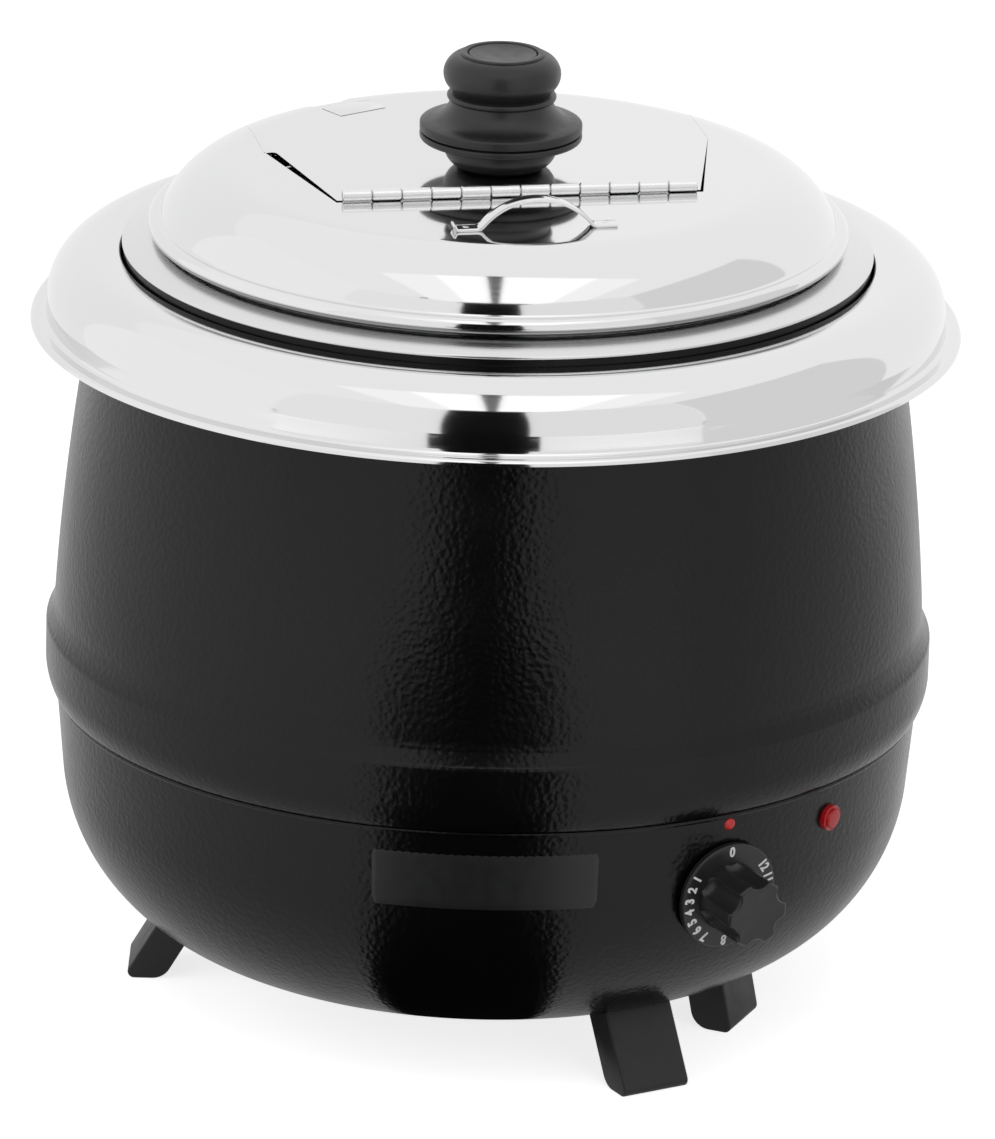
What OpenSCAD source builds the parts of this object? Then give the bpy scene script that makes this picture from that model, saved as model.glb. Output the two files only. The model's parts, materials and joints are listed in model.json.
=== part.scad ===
// Round wet-heat soup kettle: painted two-part body on moulded legs, black water well,
// loose steel collar ring, inset pot and a two-leaf hinged lid with a turned knob.
// Axis of the kettle is Z, the floor is z = 0 and the label side faces -Y.

/* [Stack] */
// Height of the body's underside above the floor
floor_gap = 22; // [18:1:30]
// Height of the lower bowl, from its underside to the seam under the hem
bowl_h = 96; // [90:0.5:102]
// Height of the upper shell, from the seam to its top flange
shell_h = 144; // [132:0.5:150]
// Gap between the collar ring's top and the underside of the pot's rim
seat_rise = 3.8; // [3:0.1:8]
// Height of the well's inside bottom above the body's underside
well_lift = 26.5; // [24:0.5:38]

/* [Inset pot] */
// Inside radius of the pot
pot_r = 118.5; // [112:0.5:121]
// Thickness of the pot's sheet
pot_t = 1.0; // [0.8:0.1:1.4]
// Width of the pot's flat rim outside its wall
rim_w = 19.5; // [19:0.5:21]
// Thickness of the rim, with its turned-under edge
rim_t = 1.2; // [1:0.1:1.8]
// Inside radius of the pot's bottom corner
pot_corner = 18; // [10:1:30]

/* [Water well] */
// Radial space for water between the pot and the well
water_gap = 8.5; // [6:0.5:9]
// Depth of water under the pot
water_depth = 11; // [8:1:14]
// Thickness of the well's sheet
well_t = 1.2; // [1:0.1:1.6]
// Width of the well's flange that hangs on the shell
well_flange_w = 8; // [6:0.5:9]
// Step of the raised seat inside the edge of the pot's rim
seat_in = 0.5; // [0.2:0.1:1]
// Inside radius of the well's bottom corner
well_corner = 20; // [10:1:30]

/* [Collar ring] */
// How far the collar ring's edge stands out beyond the shell's wall
ring_out = 10.2; // [8:0.2:17]
// Height of the collar ring
ring_h = 26.5; // [22:0.5:29]
// Radius of the collar ring's shoulder
ring_shoulder = 18; // [10:0.5:20]
// Width of the flat lip outside the collar ring's wall
ring_lip = 6; // [5:0.5:9]
// Depth of the turned-down edge of that lip
ring_drop = 2; // [1.6:0.1:3]
// Thickness of the collar ring's sheet
ring_t = 1.2; // [1:0.1:1.4]
// Play between the collar ring and the raised seat
ring_play = 0.9; // [0.8:0.1:1.2]

/* [Upper shell] */
// Distance from the pot's inside to the shell's wall, where that wall meets the hem
shell_out = 43.8; // [42:0.1:46]
// Radius of the shell's slightly barrelled side, seen in section
shell_barrel = 1000; // [700:50:1600]
// Lean of the shell's wall at the hem, in degrees
shell_lean = 3.4; // [2:0.1:4]
// Thickness of the shell's sheet
shell_t = 1.2; // [1:0.1:1.6]
// Height of the swelling hem at the foot of the shell
hem_h = 35; // [30:0.5:40]
// How far the hem stands out from the wall
hem_out = 3.2; // [2.5:0.1:4]
// Height of the hem's upright band above the seam
hem_band = 25; // [20:0.5:27]
// Height of the rounded edge at the foot of the hem
hem_round = 11; // [8:0.5:13]
// How far that rounded edge draws in
hem_tuck = 3; // [2:0.1:3.2]

/* [Lower bowl] */
// How far the bowl's wall at the seam stays inside the foot of the shell's wall
bowl_in = 1.4; // [1.3:0.1:2.8]
// Draft of the bowl's wall, in degrees
bowl_draft = 4; // [2:0.5:5]
// Radius of the bowl's bottom corner
bowl_corner = 70; // [60:1:76]
// Thickness of the bowl's sheet
bowl_t = 1.2; // [1:0.1:1.6]
// Height of the bowl's edge that laps inside the hem
bowl_lap = 8; // [5:0.5:10]
// Radius of the opening in the bowl's bottom
hatch_r = 70; // [64:1:74]

/* [Lid] */
// Height of the lid's flat top above the pot's rim
lid_rise = 28.5; // [26:0.5:31]
// Radius of the lid's shoulder
lid_shoulder = 30; // [20:1:32]
// Distance of the lid's edge inside the edge of the pot's rim
lid_inset = 9.4; // [8:0.2:11]
// Radius of the rolled bead on the lid's edge
lid_bead = 3.3; // [2:0.1:3.5]
// Gap between the bead and the pot's rim
lid_gap = 3.5; // [1.5:0.1:4]
// Depth of the ring that centres the lid's fixed front in the pot
lid_spigot = 8; // [5:0.5:12]
// Play of that ring in the pot
spigot_play = 1; // [0.6:0.1:1.6]
// Thickness of the lid's sheet
lid_t = 1.0; // [0.8:0.1:1.2]
// Turn of the lid on the pot, in degrees
lid_turn = 11.1; // [0:0.1:20]
// Half width of the rear leaf at the hinge
flap_near = 67.5; // [62:0.5:70]
// Half width of the rear leaf behind its corners
flap_far = 84; // [80:0.5:88]
// Distance of those corners behind the lid's axis
flap_corner_y = 27; // [15:1:34]
// Width of the parting gap beside the rear leaf
slit_w = 0.9; // [0.6:0.1:1.4]
// Extra width of the left slit at its far end
slit_open = 2.4; // [0:0.1:3]
// Width of the ladle notch
notch_w = 21; // [16:0.5:26]
// Distance of the ladle notch's inner end from the lid's axis
notch_in = 91; // [88:1:100]
// Bearing of the ladle notch, counted from the rear to the left, in degrees
notch_bearing = 28; // [24:1:34]

/* [Hinge] */
// Distance of the hinge in front of the lid's axis
hinge_y = 39.7; // [38:0.1:44]
// Outer radius of the hinge's knuckles
knuckle_r = 2.2; // [2:0.1:2.6]
// Thickness of the webs that carry the knuckles
knuckle_web = 1; // [0.8:0.1:1.2]
// Number of knuckles
knuckle_n = 12; // [8:2:16]
// Length of the hinge
hinge_len = 132; // [110:1:134]
// Radius of the hinge pin
pin_r = 1.1; // [0.9:0.05:1.2]
// Radial play of the hinge pin
pin_play = 0.06; // [0.03:0.01:0.1]
// Gap between neighbouring knuckles
knuckle_gap = 0.4; // [0.3:0.05:0.6]
// Thickness of the hinge leaves
leaf_t = 0.8; // [0.6:0.1:1]
// Width of each hinge leaf
leaf_w = 13; // [10:0.5:16]

/* [Strap] */
// Distance of the strap in front of the lid's axis
strap_y = 79; // [76:0.5:81]
// Width of the strap
strap_w = 8.5; // [6:0.5:10]
// Thickness of the strap
strap_t = 1.1; // [0.8:0.1:1.4]
// Span of the strap's arch
strap_span = 43; // [36:1:48]
// Height of the strap's arch
strap_rise = 11.5; // [9:0.5:13]
// Length of each flat end of the strap
strap_foot = 10; // [8:0.5:12]
// Length of the turned-up tab on the left end
strap_tab = 3.2; // [2:0.2:5]

/* [Lid knob] */
// Height of the knob
knob_h = 43.5; // [42:0.5:46]
// Radius of the knob's flange
knob_flange_r = 30; // [27:0.5:32]
// Radius of the knob's foot on the lid
knob_foot_r = 18.2; // [15:0.2:20]
// Radius of the neck above the flange
knob_neck_r = 18.6; // [17:0.2:19.6]
// Outer radius of the knob's round head
knob_head_r = 21.7; // [21:0.1:24]
// Radius of the head's rounding, seen in section
knob_round = 7.3; // [6.5:0.1:8]
// Radius of the raised ring round the cap
knob_cap_r = 15.4; // [13:0.2:16]
// Radius of the knob's screw
knob_screw_r = 2.5; // [2:0.1:3]

/* [Control dial] */
// Bearing of the dial from the front to the right, in degrees
dial_bearing = 33.8; // [30:0.1:38]
// Height of the dial's centre above the floor
dial_z = 86; // [82:0.5:92]
// Radius of the dial's numbered skirt
dial_r = 21; // [18:0.5:22]
// Thickness of the skirt
dial_skirt = 2.6; // [2:0.1:3.4]
// Gap between the skirt and the bowl
dial_gap = 0.8; // [0.8:0.1:1.6]
// Height of the grip above the skirt
grip_h = 17.6; // [15:0.2:20]
// Radius of the grip at its lobes
grip_r = 12.6; // [11:0.1:14]
// Number of lobes on the grip
grip_lobes = 6; // [5:1:8]
// Radius of the flutes between the lobes
flute_r = 5.2; // [4.6:0.1:5.6]
// Radius of the control's shaft
shaft_r = 3; // [2.5:0.1:3.2]

/* [Lamp and index] */
// Bearing of the lamp from the front to the right, in degrees
lamp_bearing = 52.1; // [50:0.1:58]
// Height of the lamp's centre above the floor
lamp_z = 104; // [100:0.5:108]
// Radius of the lamp's lens
lamp_r = 4.9; // [4:0.1:5.4]
// Height of the index dot's centre above the floor
index_z = 113.2; // [112:0.2:114]
// Radius of the index dot
index_r = 2.3; // [2:0.1:2.4]

/* [Legs] */
// Width of each leg
leg_w = 27.5; // [24:0.5:30]
// How far the splayed legs' outer edge stays inside the bowl's wall
leg_in = 27.9; // [23:0.1:33]
// How far the set-in leg's outer edge stays inside the bowl's wall
leg_side_in = 52.4; // [49:0.1:55]
// Lean of the splayed legs, in degrees
leg_splay = 30; // [24:1:33]
// Lean of the set-in leg, in degrees
leg_side_splay = 12; // [8:1:16]
// Thickness of each leg, measured towards the axis
leg_t = 15.5; // [13:0.5:17]
// Radius of the sole's outer edge
leg_corner = 2.5; // [1.5:0.1:3]
// Radius of the sole's inner edge
leg_heel = 7.5; // [4:0.5:9]
// Width of the strip left of the groove down the leg's outer face
leg_strip = 4.9; // [4:0.1:6]

/* [Heater and controls] */
// Distance from the well's wall in to the middle of the heating element's tube
element_in = 44; // [38:1:52]
// Radius of the element's tube
element_tube = 4; // [3.5:0.1:4.4]
// Thickness of the clamp plate under the element
clamp_t = 1.5; // [1.2:0.1:2]
// Radius of the tie rod that holds well, shell and bowl together
tie_r = 4; // [3:0.1:5]
// Radius of the cord gland's bore
gland_bore = 4.2; // [3.6:0.1:4.4]
// Height of the cord gland above the floor
gland_z = 92; // [90:0.5:97]
// Reach of the cord gland outside the bowl's wall
gland_out = 9; // [6:0.5:10]

/* [Hidden] */
$fn = 96;
eps = 0.01;
big = 400;

// Heights of the stack
bowl_z = floor_gap;
seam_z = bowl_z + bowl_h;
shell_z = seam_z + shell_h;
flange_z = shell_z + well_t;
ring_z = flange_z - ring_drop - well_t;
ring_top = ring_z + ring_h;
seat_z = ring_top + seat_rise;
rim_z = seat_z + rim_t;
well_z = bowl_z + well_lift;
pot_z = well_z + water_depth + pot_t;
lid_z = rim_z + lid_rise;

// Radii of the stack
shell_r = pot_r + shell_out;
bowl_r = shell_r - bowl_in;
ring_r = shell_r + ring_out;
pot_out = pot_r + pot_t;
rim_r = pot_out + rim_w;
seat_r = rim_r - seat_in;
well_r = pot_out + water_gap;
lid_r = rim_r - lid_inset;
ring_in = seat_r + ring_play;
ring_wall = ring_r - ring_lip;
flange_r = seat_r + well_flange_w;

// Section of the bowl: a drafted wall that runs tangent into the corner
bowl_cz = bowl_z + bowl_corner;
bowl_cx = bowl_r - (seam_z - bowl_cz) * tan(bowl_draft) - bowl_corner / cos(bowl_draft);
function bowl_wall(z) = bowl_r - (seam_z - z) * tan(bowl_draft);
function bowl_under(r) = bowl_cz - sqrt(pow(bowl_corner, 2) - pow(max(r - bowl_cx, 0), 2));

// Section of the shell: a large circle through the top of the hem
hem_top = seam_z + hem_h;
shell_cx = shell_r - shell_barrel * cos(shell_lean);
shell_cz = hem_top - shell_barrel * sin(shell_lean);
function shell_at(z) = shell_cx + sqrt(pow(shell_barrel, 2) - pow(z - shell_cz, 2));
hem_r = shell_r + hem_out;

// Fasteners shared by several parts
screw_r = 2;
head_r = 3.6;
head_h = 1.6;
hole_play = 0.3;

// Colours
black_paint = [0.10, 0.10, 0.11];
black_plastic = [0.16, 0.16, 0.17];
steel = [0.80, 0.81, 0.82];
dark_steel = [0.45, 0.46, 0.48];

// Places a child, drawn with its axis along +Z, on the bowl's wall at a bearing from the front
module on_bowl(bearing, z, lift = 0) {
  r = bowl_wall(z);
  rotate([0, 0, bearing]) translate([0, -r, z]) rotate([90 + bowl_draft, 0, 0]) translate([0, 0, lift])
    children();
}

module ring(r_out, r_in, h) {
  difference() {
    cylinder(r = r_out, h = h);
    translate([0, 0, -1]) cylinder(r = r_in, h = h + 2);
  }
}

// Screw with a domed head, its head's underside at z = 0 and its shank down -Z
module screw(r, l, hr, hh) {
  translate([0, 0, -l]) cylinder(r = r, h = l + eps, $fn = 32);
  difference() {
    rotate_extrude($fn = 40) intersection() {
      translate([0, hh - hr * 1.4]) circle(r = hr * 1.4, $fn = 80);
      square([hr, hh]);
    }
    translate([-hr * 0.6, -0.35, hh - 0.6]) cube([hr * 1.2, 0.7, 1]);
  }
}

// ---- body --------------------------------------------------------------------------------

// Filled section of the bowl, drawn in by a thickness
module bowl_section(t) {
  c = [bowl_cx, bowl_cz];
  rr = bowl_corner - t;
  p = [c[0] + rr * cos(bowl_draft), c[1] - rr * sin(bowl_draft)];
  top = seam_z + bowl_lap + (t > 0 ? 1 : 0);
  intersection() {
    square([big, big]);
    union() {
      intersection() {
        translate(c) circle(r = rr, $fn = 180);
        square([big, c[1]]);
      }
      polygon([[0, bowl_z + t], [c[0], bowl_z + t], c, p,
               [bowl_wall(top) - t / cos(bowl_draft), top], [0, top]]);
    }
  }
}

bowl_bead = 1;
module lower_bowl() {
  color(black_paint) difference() {
    rotate_extrude($fn = 180) difference() {
      union() {
        bowl_section(0);
        // bead under the hem
        translate([bowl_r - bowl_bead * 0.2, seam_z - bowl_bead - 0.2]) circle(r = bowl_bead, $fn = 40);
      }
      bowl_section(bowl_t);
      square([hatch_r, bowl_z + bowl_t + 1]);
    }
    on_bowl(dial_bearing, dial_z, -10) cylinder(r = shaft_bush_r + hole_play, h = 20, $fn = 48);
    on_bowl(lamp_bearing, lamp_z, -10) cylinder(r = lamp_r - 1 + hole_play, h = 20, $fn = 48);
    on_bowl(dial_bearing, index_z, -10) cylinder(r = index_r - 0.8 + hole_play, h = 20, $fn = 32);
    on_bowl(180, gland_z, -10) cylinder(r = gland_thread_r, h = 20, $fn = 48);
    for (spec = legs) leg_screw_places(spec) translate([0, 0, -12])
      cylinder(r = screw_r + hole_play, h = 30, $fn = 32);
    base_screw_places() translate([0, 0, -5]) cylinder(r = screw_r + hole_play, h = 12, $fn = 32);
  }
}

module shell_section(t) {
  intersection() {
    translate([0, seam_z]) square([big, shell_h - t]);
    translate([shell_cx, shell_cz]) circle(r = shell_barrel - t, $fn = 1440);
  }
}

// The hem: an upright band, tucked in below by an arc and flared out of the wall above
module hem_section(t) {
  band_z = seam_z + hem_band;
  flare_h = hem_h - hem_band;
  flare_r = (pow(flare_h, 2) + pow(hem_out, 2)) / (2 * hem_out);
  tuck_r = (pow(hem_round, 2) + pow(hem_tuck, 2)) / (2 * hem_tuck);
  intersection() {
    translate([hem_r - tuck_r, seam_z + hem_round]) circle(r = tuck_r - t, $fn = 180);
    translate([0, seam_z - (t > 0 ? 1 : 0)]) square([big, hem_round + (t > 0 ? 1 : 0)]);
  }
  translate([0, seam_z + hem_round]) square([hem_r - t, hem_band - hem_round]);
  difference() {
    translate([0, band_z - eps]) square([hem_r - t, flare_h]);
    translate([shell_r + flare_r, band_z + flare_h]) circle(r = flare_r + t, $fn = 180);
  }
}

module upper_shell() {
  color(black_paint) rotate_extrude($fn = 180) difference() {
    union() {
      shell_section(0);
      hem_section(0);
    }
    shell_section(shell_t);
    hem_section(shell_t);
    // mouth for the well, inside the top flange
    translate([0, seam_z]) square([seat_r + hole_play, shell_h + 1]);
  }
}

// Filled section of a drawn pan: wall, rounded corner and flat bottom
module pan_section(r, z0, z1, corner) {
  translate([0, z0 + corner]) square([r, z1 - z0 - corner]);
  translate([0, z0]) square([r - corner, corner + 1]);
  intersection() {
    translate([r - corner, z0 + corner]) circle(r = corner, $fn = 96);
    translate([0, z0]) square([r, corner + 1]);
  }
}

// The well widens to its neck in a sloping step under the flange
neck_drop = 8;
neck_slope = 6;
well_step_z = flange_z - well_t - neck_drop;
module neck_section(t) {
  z = well_step_z + t;
  polygon([[0, z], [well_r + well_t - t, z], [seat_r - t, z + neck_slope],
           [seat_r - t, seat_z + t], [0, seat_z + t]]);
}

module water_well() {
  color(black_paint) difference() {
    rotate_extrude($fn = 180) difference() {
      union() {
        pan_section(well_r + well_t, well_z - well_t, well_step_z + well_t, well_corner + well_t);
        neck_section(0);
        translate([0, flange_z - well_t]) square([flange_r, well_t]);
      }
      pan_section(well_r, well_z, well_step_z + well_t, well_corner);
      neck_section(well_t);
    }
    translate([0, 0, well_z - 5]) cylinder(r = tie_r + 0.05, h = 10, $fn = 48);
  }
}

module insulation_sleeve() {
  r_in = well_r + well_t + 0.6;
  r_out = shell_at(shell_z) - shell_t - 2.5;
  color([0.86, 0.82, 0.62]) translate([0, 0, seam_z + 2]) ring(r_out, r_in, well_step_z - seam_z - 4);
}

// ---- heater ------------------------------------------------------------------------------

element_r = well_r - element_in;
element_z = well_z - well_t - element_tube;
clamp_z = element_z - element_tube - clamp_t;
shield_drop = 9;
shield_z = clamp_z - shield_drop;
shield_r = element_r + 14;
element_gap = 24;
cold_end = 14;
terminal_r = 1.5;
terminal_l = 6;
module heating_element() {
  sweep = 360 - element_gap;
  color(dark_steel) {
    translate([0, 0, element_z]) rotate([0, 0, element_gap / 2]) rotate_extrude(angle = sweep, $fn = 180)
      translate([element_r, 0]) circle(r = element_tube, $fn = 72);
    for (s = [-1, 1]) rotate([0, 0, s * element_gap / 2]) translate([element_r, 0, element_z]) {
      translate([0, 0, -cold_end]) cylinder(r = element_tube, h = cold_end, $fn = 72);
      translate([0, 0, 1 - cold_end - terminal_l]) cylinder(r = terminal_r, h = terminal_l, $fn = 48);
    }
  }
}

module heater_clamp() {
  color(dark_steel) difference() {
    translate([0, 0, clamp_z]) cylinder(r = element_r + element_tube + 8, h = clamp_t);
    translate([0, 0, clamp_z - 1]) cylinder(r = tie_r + hole_play, h = clamp_t + 2, $fn = 48);
    for (s = [-1, 1]) rotate([0, 0, s * element_gap / 2]) translate([element_r, 0, clamp_z - 1])
      cylinder(r = element_tube + 1, h = clamp_t + 2, $fn = 32);
    translate([cutout_x, 0, clamp_z - 1]) cylinder(r = cutout_r + 2, h = clamp_t + 2, $fn = 48);
    rotate([0, 0, bulb_bearing]) translate([bulb_x, tail_y, clamp_z - 1])
      cylinder(r = tail_hole_r, h = clamp_t + 2, $fn = 32);
  }
}

module heat_shield() {
  color(steel) difference() {
    translate([0, 0, shield_z]) cylinder(r = shield_r, h = 0.8);
    translate([0, 0, shield_z - 1]) cylinder(r = tie_r + hole_play, h = 3, $fn = 48);
    for (s = [-1, 1]) rotate([0, 0, s * element_gap / 2]) translate([element_r, 0, shield_z - 1])
      cylinder(r = element_tube + 2, h = 3, $fn = 32);
    translate([cutout_x, 0, shield_z - 1]) cylinder(r = cutout_r + 4, h = 3, $fn = 48);
    rotate([0, 0, bulb_bearing]) translate([bulb_x, tail_y, shield_z - 1])
      cylinder(r = tail_hole_r, h = 3, $fn = 32);
  }
}

cutout_x = -46;
cutout_r = 8;
module thermal_cutout() {
  color(black_plastic) translate([cutout_x, 0, well_z - well_t]) {
    difference() {
      union() {
        translate([0, 0, -2]) cylinder(r = cutout_r, h = 2, $fn = 64);
        translate([0, 0, -9]) cylinder(r = cutout_r - 1, h = 8, $fn = 64);
        translate([-cutout_r - 6, -4, -2]) cube([2 * cutout_r + 12, 8, 1]);
      }
      for (s = [-1, 1]) translate([s * (cutout_r + 3), 0, -3]) cylinder(r = 1.6, h = 4, $fn = 24);
    }
    for (s = [-1, 1]) translate([s * 4 - 0.4, -3, -15]) cube([0.8, 6, 7]);
  }
}

module cutout_screws() {
  color(steel) for (s = [-1, 1]) translate([cutout_x + s * (cutout_r + 3), 0, well_z - well_t - 2])
    mirror([0, 0, 1]) screw(1.5, 2, 2.6, 1.4);
}

bulb_bearing = 120;
bulb_x = 52;
bulb_r = 3;
bulb_l = 40;
tail_r = 0.9;
tail_out = 5;
tail_drop = 19;
tail_y = -bulb_l / 2 - tail_out;
tail_hole_r = 3;

module on_bulb() {
  rotate([0, 0, bulb_bearing]) translate([bulb_x, 0, well_z - well_t - bulb_r]) children();
}

module sensor_bulb() {
  color([0.72, 0.45, 0.30]) on_bulb() {
    rotate([90, 0, 0]) cylinder(r = bulb_r, h = bulb_l, center = true, $fn = 40);
    // capillary: out of the bulb's end and down through the clamp plate
    rotate([90, 0, 0]) cylinder(r = tail_r, h = -tail_y, $fn = 24);
    translate([0, tail_y, 0]) sphere(r = tail_r, $fn = 24);
    translate([0, tail_y, -tail_drop]) cylinder(r = tail_r, h = tail_drop, $fn = 24);
  }
}

// Omega clip: wraps the bulb from below and is open where the bulb meets the well
module sensor_clip() {
  color(steel) on_bulb() rotate([90, 0, 0]) translate([0, 0, -4]) difference() {
      union() {
        cylinder(r = bulb_r + 1, h = 8, $fn = 48);
        translate([-bulb_r - 6, bulb_r - 1, 0]) cube([2 * bulb_r + 12, 1, 8]);
      }
      translate([0, 0, -1]) cylinder(r = bulb_r + 0.05, h = 10, $fn = 48);
      translate([-bulb_r / 2, bulb_r / 2, -1]) cube([bulb_r, 5, 10]);
      translate([-bulb_r - 8, bulb_r, -1]) cube([2 * bulb_r + 16, 5, 10]);
    }
}

// ---- control, lamp, cord entry -----------------------------------------------------------

shaft_bush_r = 5;
switch_r = 17;
switch_h = 18;
// the control's face keeps clear of the bowl's rounded corner, and a seat round the bush reaches up to the wall
switch_gap = pow(switch_r + 2, 2) / (2 * bowl_corner) + 0.6;
seat_lip = 3;
switch_lift = -bowl_t - switch_gap - switch_h;
module control_switch() {
  color(black_plastic) on_bowl(dial_bearing, dial_z, switch_lift) difference() {
    union() {
      cylinder(r = switch_r, h = switch_h, $fn = 72);
      translate([0, 0, switch_h - eps]) cylinder(r = shaft_bush_r, h = switch_gap + bush_top, $fn = 48);
      translate([0, 0, switch_h - eps]) cylinder(r = shaft_bush_r + seat_lip, h = switch_gap - 0.8, $fn = 48);
      for (s = [-1, 1]) translate([s * 9 - 0.4, -3, -6]) cube([0.8, 6, 6 + eps]);
    }
    translate([0, 0, 6]) cylinder(r = shaft_r + 0.05, h = switch_h + 20, $fn = 48);
  }
}

bush_top = bowl_t + 2.2;
module control_nut() {
  color(steel) on_bowl(dial_bearing, dial_z, 0) difference() {
    cylinder(r = 8.4, h = 1.6, $fn = 6);
    translate([0, 0, -1]) cylinder(r = shaft_bush_r, h = 4, $fn = 48);
  }
}

// The dial's underside is hollow, so that it covers the bush and its nut
module control_dial() {
  color(black_plastic) on_bowl(dial_bearing, dial_z, dial_gap) difference() {
    union() {
      rotate_extrude($fn = 120)
        polygon([[0, 0], [dial_r - 0.6, 0], [dial_r, 0.6], [dial_r, dial_skirt - 0.7],
                 [dial_r - 0.7, dial_skirt], [0, dial_skirt]]);
      difference() {
        rotate_extrude($fn = 96) union() {
          square([grip_r, dial_skirt + grip_h - 1.6]);
          square([grip_r - 1.6, dial_skirt + grip_h]);
          translate([grip_r - 1.6, dial_skirt + grip_h - 1.6]) circle(r = 1.6, $fn = 32);
        }
        for (i = [0 : grip_lobes - 1]) rotate([0, 0, (i + 0.5) * 360 / grip_lobes]) flute();
      }
    }
    translate([0, 0, -1]) cylinder(r = 10, h = 1 + 2.2, $fn = 64);
    translate([0, 0, -1]) cylinder(r = shaft_r, h = dial_skirt + grip_h * 0.6, $fn = 48);
  }
}

// A round flute that runs up the grip and ends in a ball just above the skirt
module flute() {
  x = grip_r + flute_r * 0.52;
  translate([x, 0, dial_skirt + flute_r * 0.72]) {
    sphere(r = flute_r, $fn = 48);
    cylinder(r = flute_r, h = grip_h + 5, $fn = 64);
  }
}

module dial_shaft() {
  bottom = switch_lift + 6;
  top = dial_gap - 1 + dial_skirt + grip_h * 0.6;
  color(steel) on_bowl(dial_bearing, dial_z, bottom) cylinder(r = shaft_r, h = top - bottom, $fn = 48);
}

module lamp_lens() {
  color([0.80, 0.08, 0.06]) on_bowl(lamp_bearing, lamp_z, 0.15) {
    rotate_extrude($fn = 64)
      polygon([[0, 0], [lamp_r, 0], [lamp_r, 1.6], [lamp_r - 1.5, 3.4], [0, 3.4]]);
    translate([0, 0, -bowl_t - 5]) cylinder(r = lamp_r - 1, h = bowl_t + 5 + eps, $fn = 48);
  }
}

module lamp_body() {
  color(black_plastic) on_bowl(lamp_bearing, lamp_z, -bowl_t - 5 - 12) {
    cylinder(r = 4.5, h = 12.15, $fn = 48);
    translate([0, 0, 8]) ring(lamp_r + 1.6, lamp_r - 0.8, 6.9);
    for (s = [-1, 1]) translate([s * 2 - 0.4, -1.5, -6]) cube([0.8, 3, 6 + eps]);
  }
}

module index_dot() {
  color([0.80, 0.10, 0.10]) on_bowl(dial_bearing, index_z, 0.1) {
    rotate_extrude($fn = 48) intersection() {
      translate([0, -index_r * 1.4]) circle(r = index_r * 1.4 + 0.9, $fn = 80);
      square([index_r, 2]);
    }
    translate([0, 0, -bowl_t - 2]) cylinder(r = index_r - 0.8, h = bowl_t + 2 + eps, $fn = 32);
  }
}

gland_thread_r = 7;
gland_body_r = 9.5;
module cord_gland() {
  color(black_plastic) on_bowl(180, gland_z, 0) difference() {
    union() {
      rotate_extrude($fn = 72) polygon([[0, 0], [gland_body_r, 0], [gland_body_r, gland_out * 0.35],
                                        [gland_body_r - 2.6, gland_out], [0, gland_out]]);
      translate([0, 0, -14]) cylinder(r = gland_thread_r, h = 14 + eps, $fn = 60);
    }
    translate([0, 0, -16]) cylinder(r = gland_bore, h = gland_out + 18, $fn = 60);
  }
}

module gland_nut() {
  color(black_plastic) on_bowl(180, gland_z, -bowl_t - 1 - 5) difference() {
    cylinder(r = 10.4, h = 5, $fn = 6);
    translate([0, 0, -1]) cylinder(r = gland_thread_r, h = 7, $fn = 60);
  }
}

// ---- underside ---------------------------------------------------------------------------

plate_t = 1.2;
plate_r = hatch_r + 9;
base_screw_r = hatch_r + 4.5;
base_screw_l = 5;
rod_out = 7;
module base_screw_places() {
  for (a = [60, 180, 300]) rotate([0, 0, a]) translate([base_screw_r, 0, bowl_z]) children();
}

module slot(l, w, h) {
  for (s = [-1, 1]) translate([0, s * (l - w) / 2, 0]) cylinder(r = w / 2, h = h, $fn = 32);
  translate([-w / 2, -(l - w) / 2, 0]) cube([w, l - w, h]);
}

module base_plate() {
  color(black_paint) translate([0, 0, bowl_z - plate_t]) difference() {
    cylinder(r = plate_r, h = plate_t);
    translate([0, 0, -1]) cylinder(r = tie_r + hole_play, h = plate_t + 2, $fn = 48);
    for (a = [0 : 30 : 330]) rotate([0, 0, a]) translate([0, 44, -1]) slot(26, 4, plate_t + 2);
    translate([0, 0, -bowl_z]) base_screw_places() translate([0, 0, -1])
      cylinder(r = screw_r + hole_play, h = plate_t + 2, $fn = 32);
  }
}

module base_screws() {
  color(steel) base_screw_places() translate([0, 0, -plate_t]) mirror([0, 0, 1])
    screw(screw_r, base_screw_l, head_r, head_h);
}

module tie_rod() {
  bottom = bowl_z - plate_t - rod_out;
  color(steel) translate([0, 0, bottom]) cylinder(r = tie_r, h = well_z + 4 - bottom, $fn = 48);
}

module tie_nuts() {
  // under the base plate, under the clamp plate and on the well's bottom: the foot of each nut, and its height
  color(steel) for (nut = [[bowl_z - plate_t - 5, 5], [clamp_z - 4.5, 4.5], [well_z, 3.5]])
    translate([0, 0, nut[0]]) difference() {
      cylinder(r = tie_r * 1.85, h = nut[1], $fn = 6);
      translate([0, 0, -1]) cylinder(r = tie_r, h = nut[1] + 2, $fn = 48);
    }
}

// ---- legs --------------------------------------------------------------------------------

// Each leg: bearing from the front to the right, reach of its outer edge, lean
leg_bearing = 30;
leg_side_bearing = 67;
leg_reach = bowl_r - leg_in;
leg_side_reach = bowl_r - leg_side_in;
legs = [
  [leg_bearing, leg_reach, leg_splay],
  [leg_side_bearing, leg_side_reach, leg_side_splay],
  [leg_bearing + 120, leg_reach, leg_splay],
  [leg_bearing - 120, leg_reach, leg_splay]
];
leg_top = 37;
groove_z = 4;
groove_w = 0.9;
leg_screw_l = 8;

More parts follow.
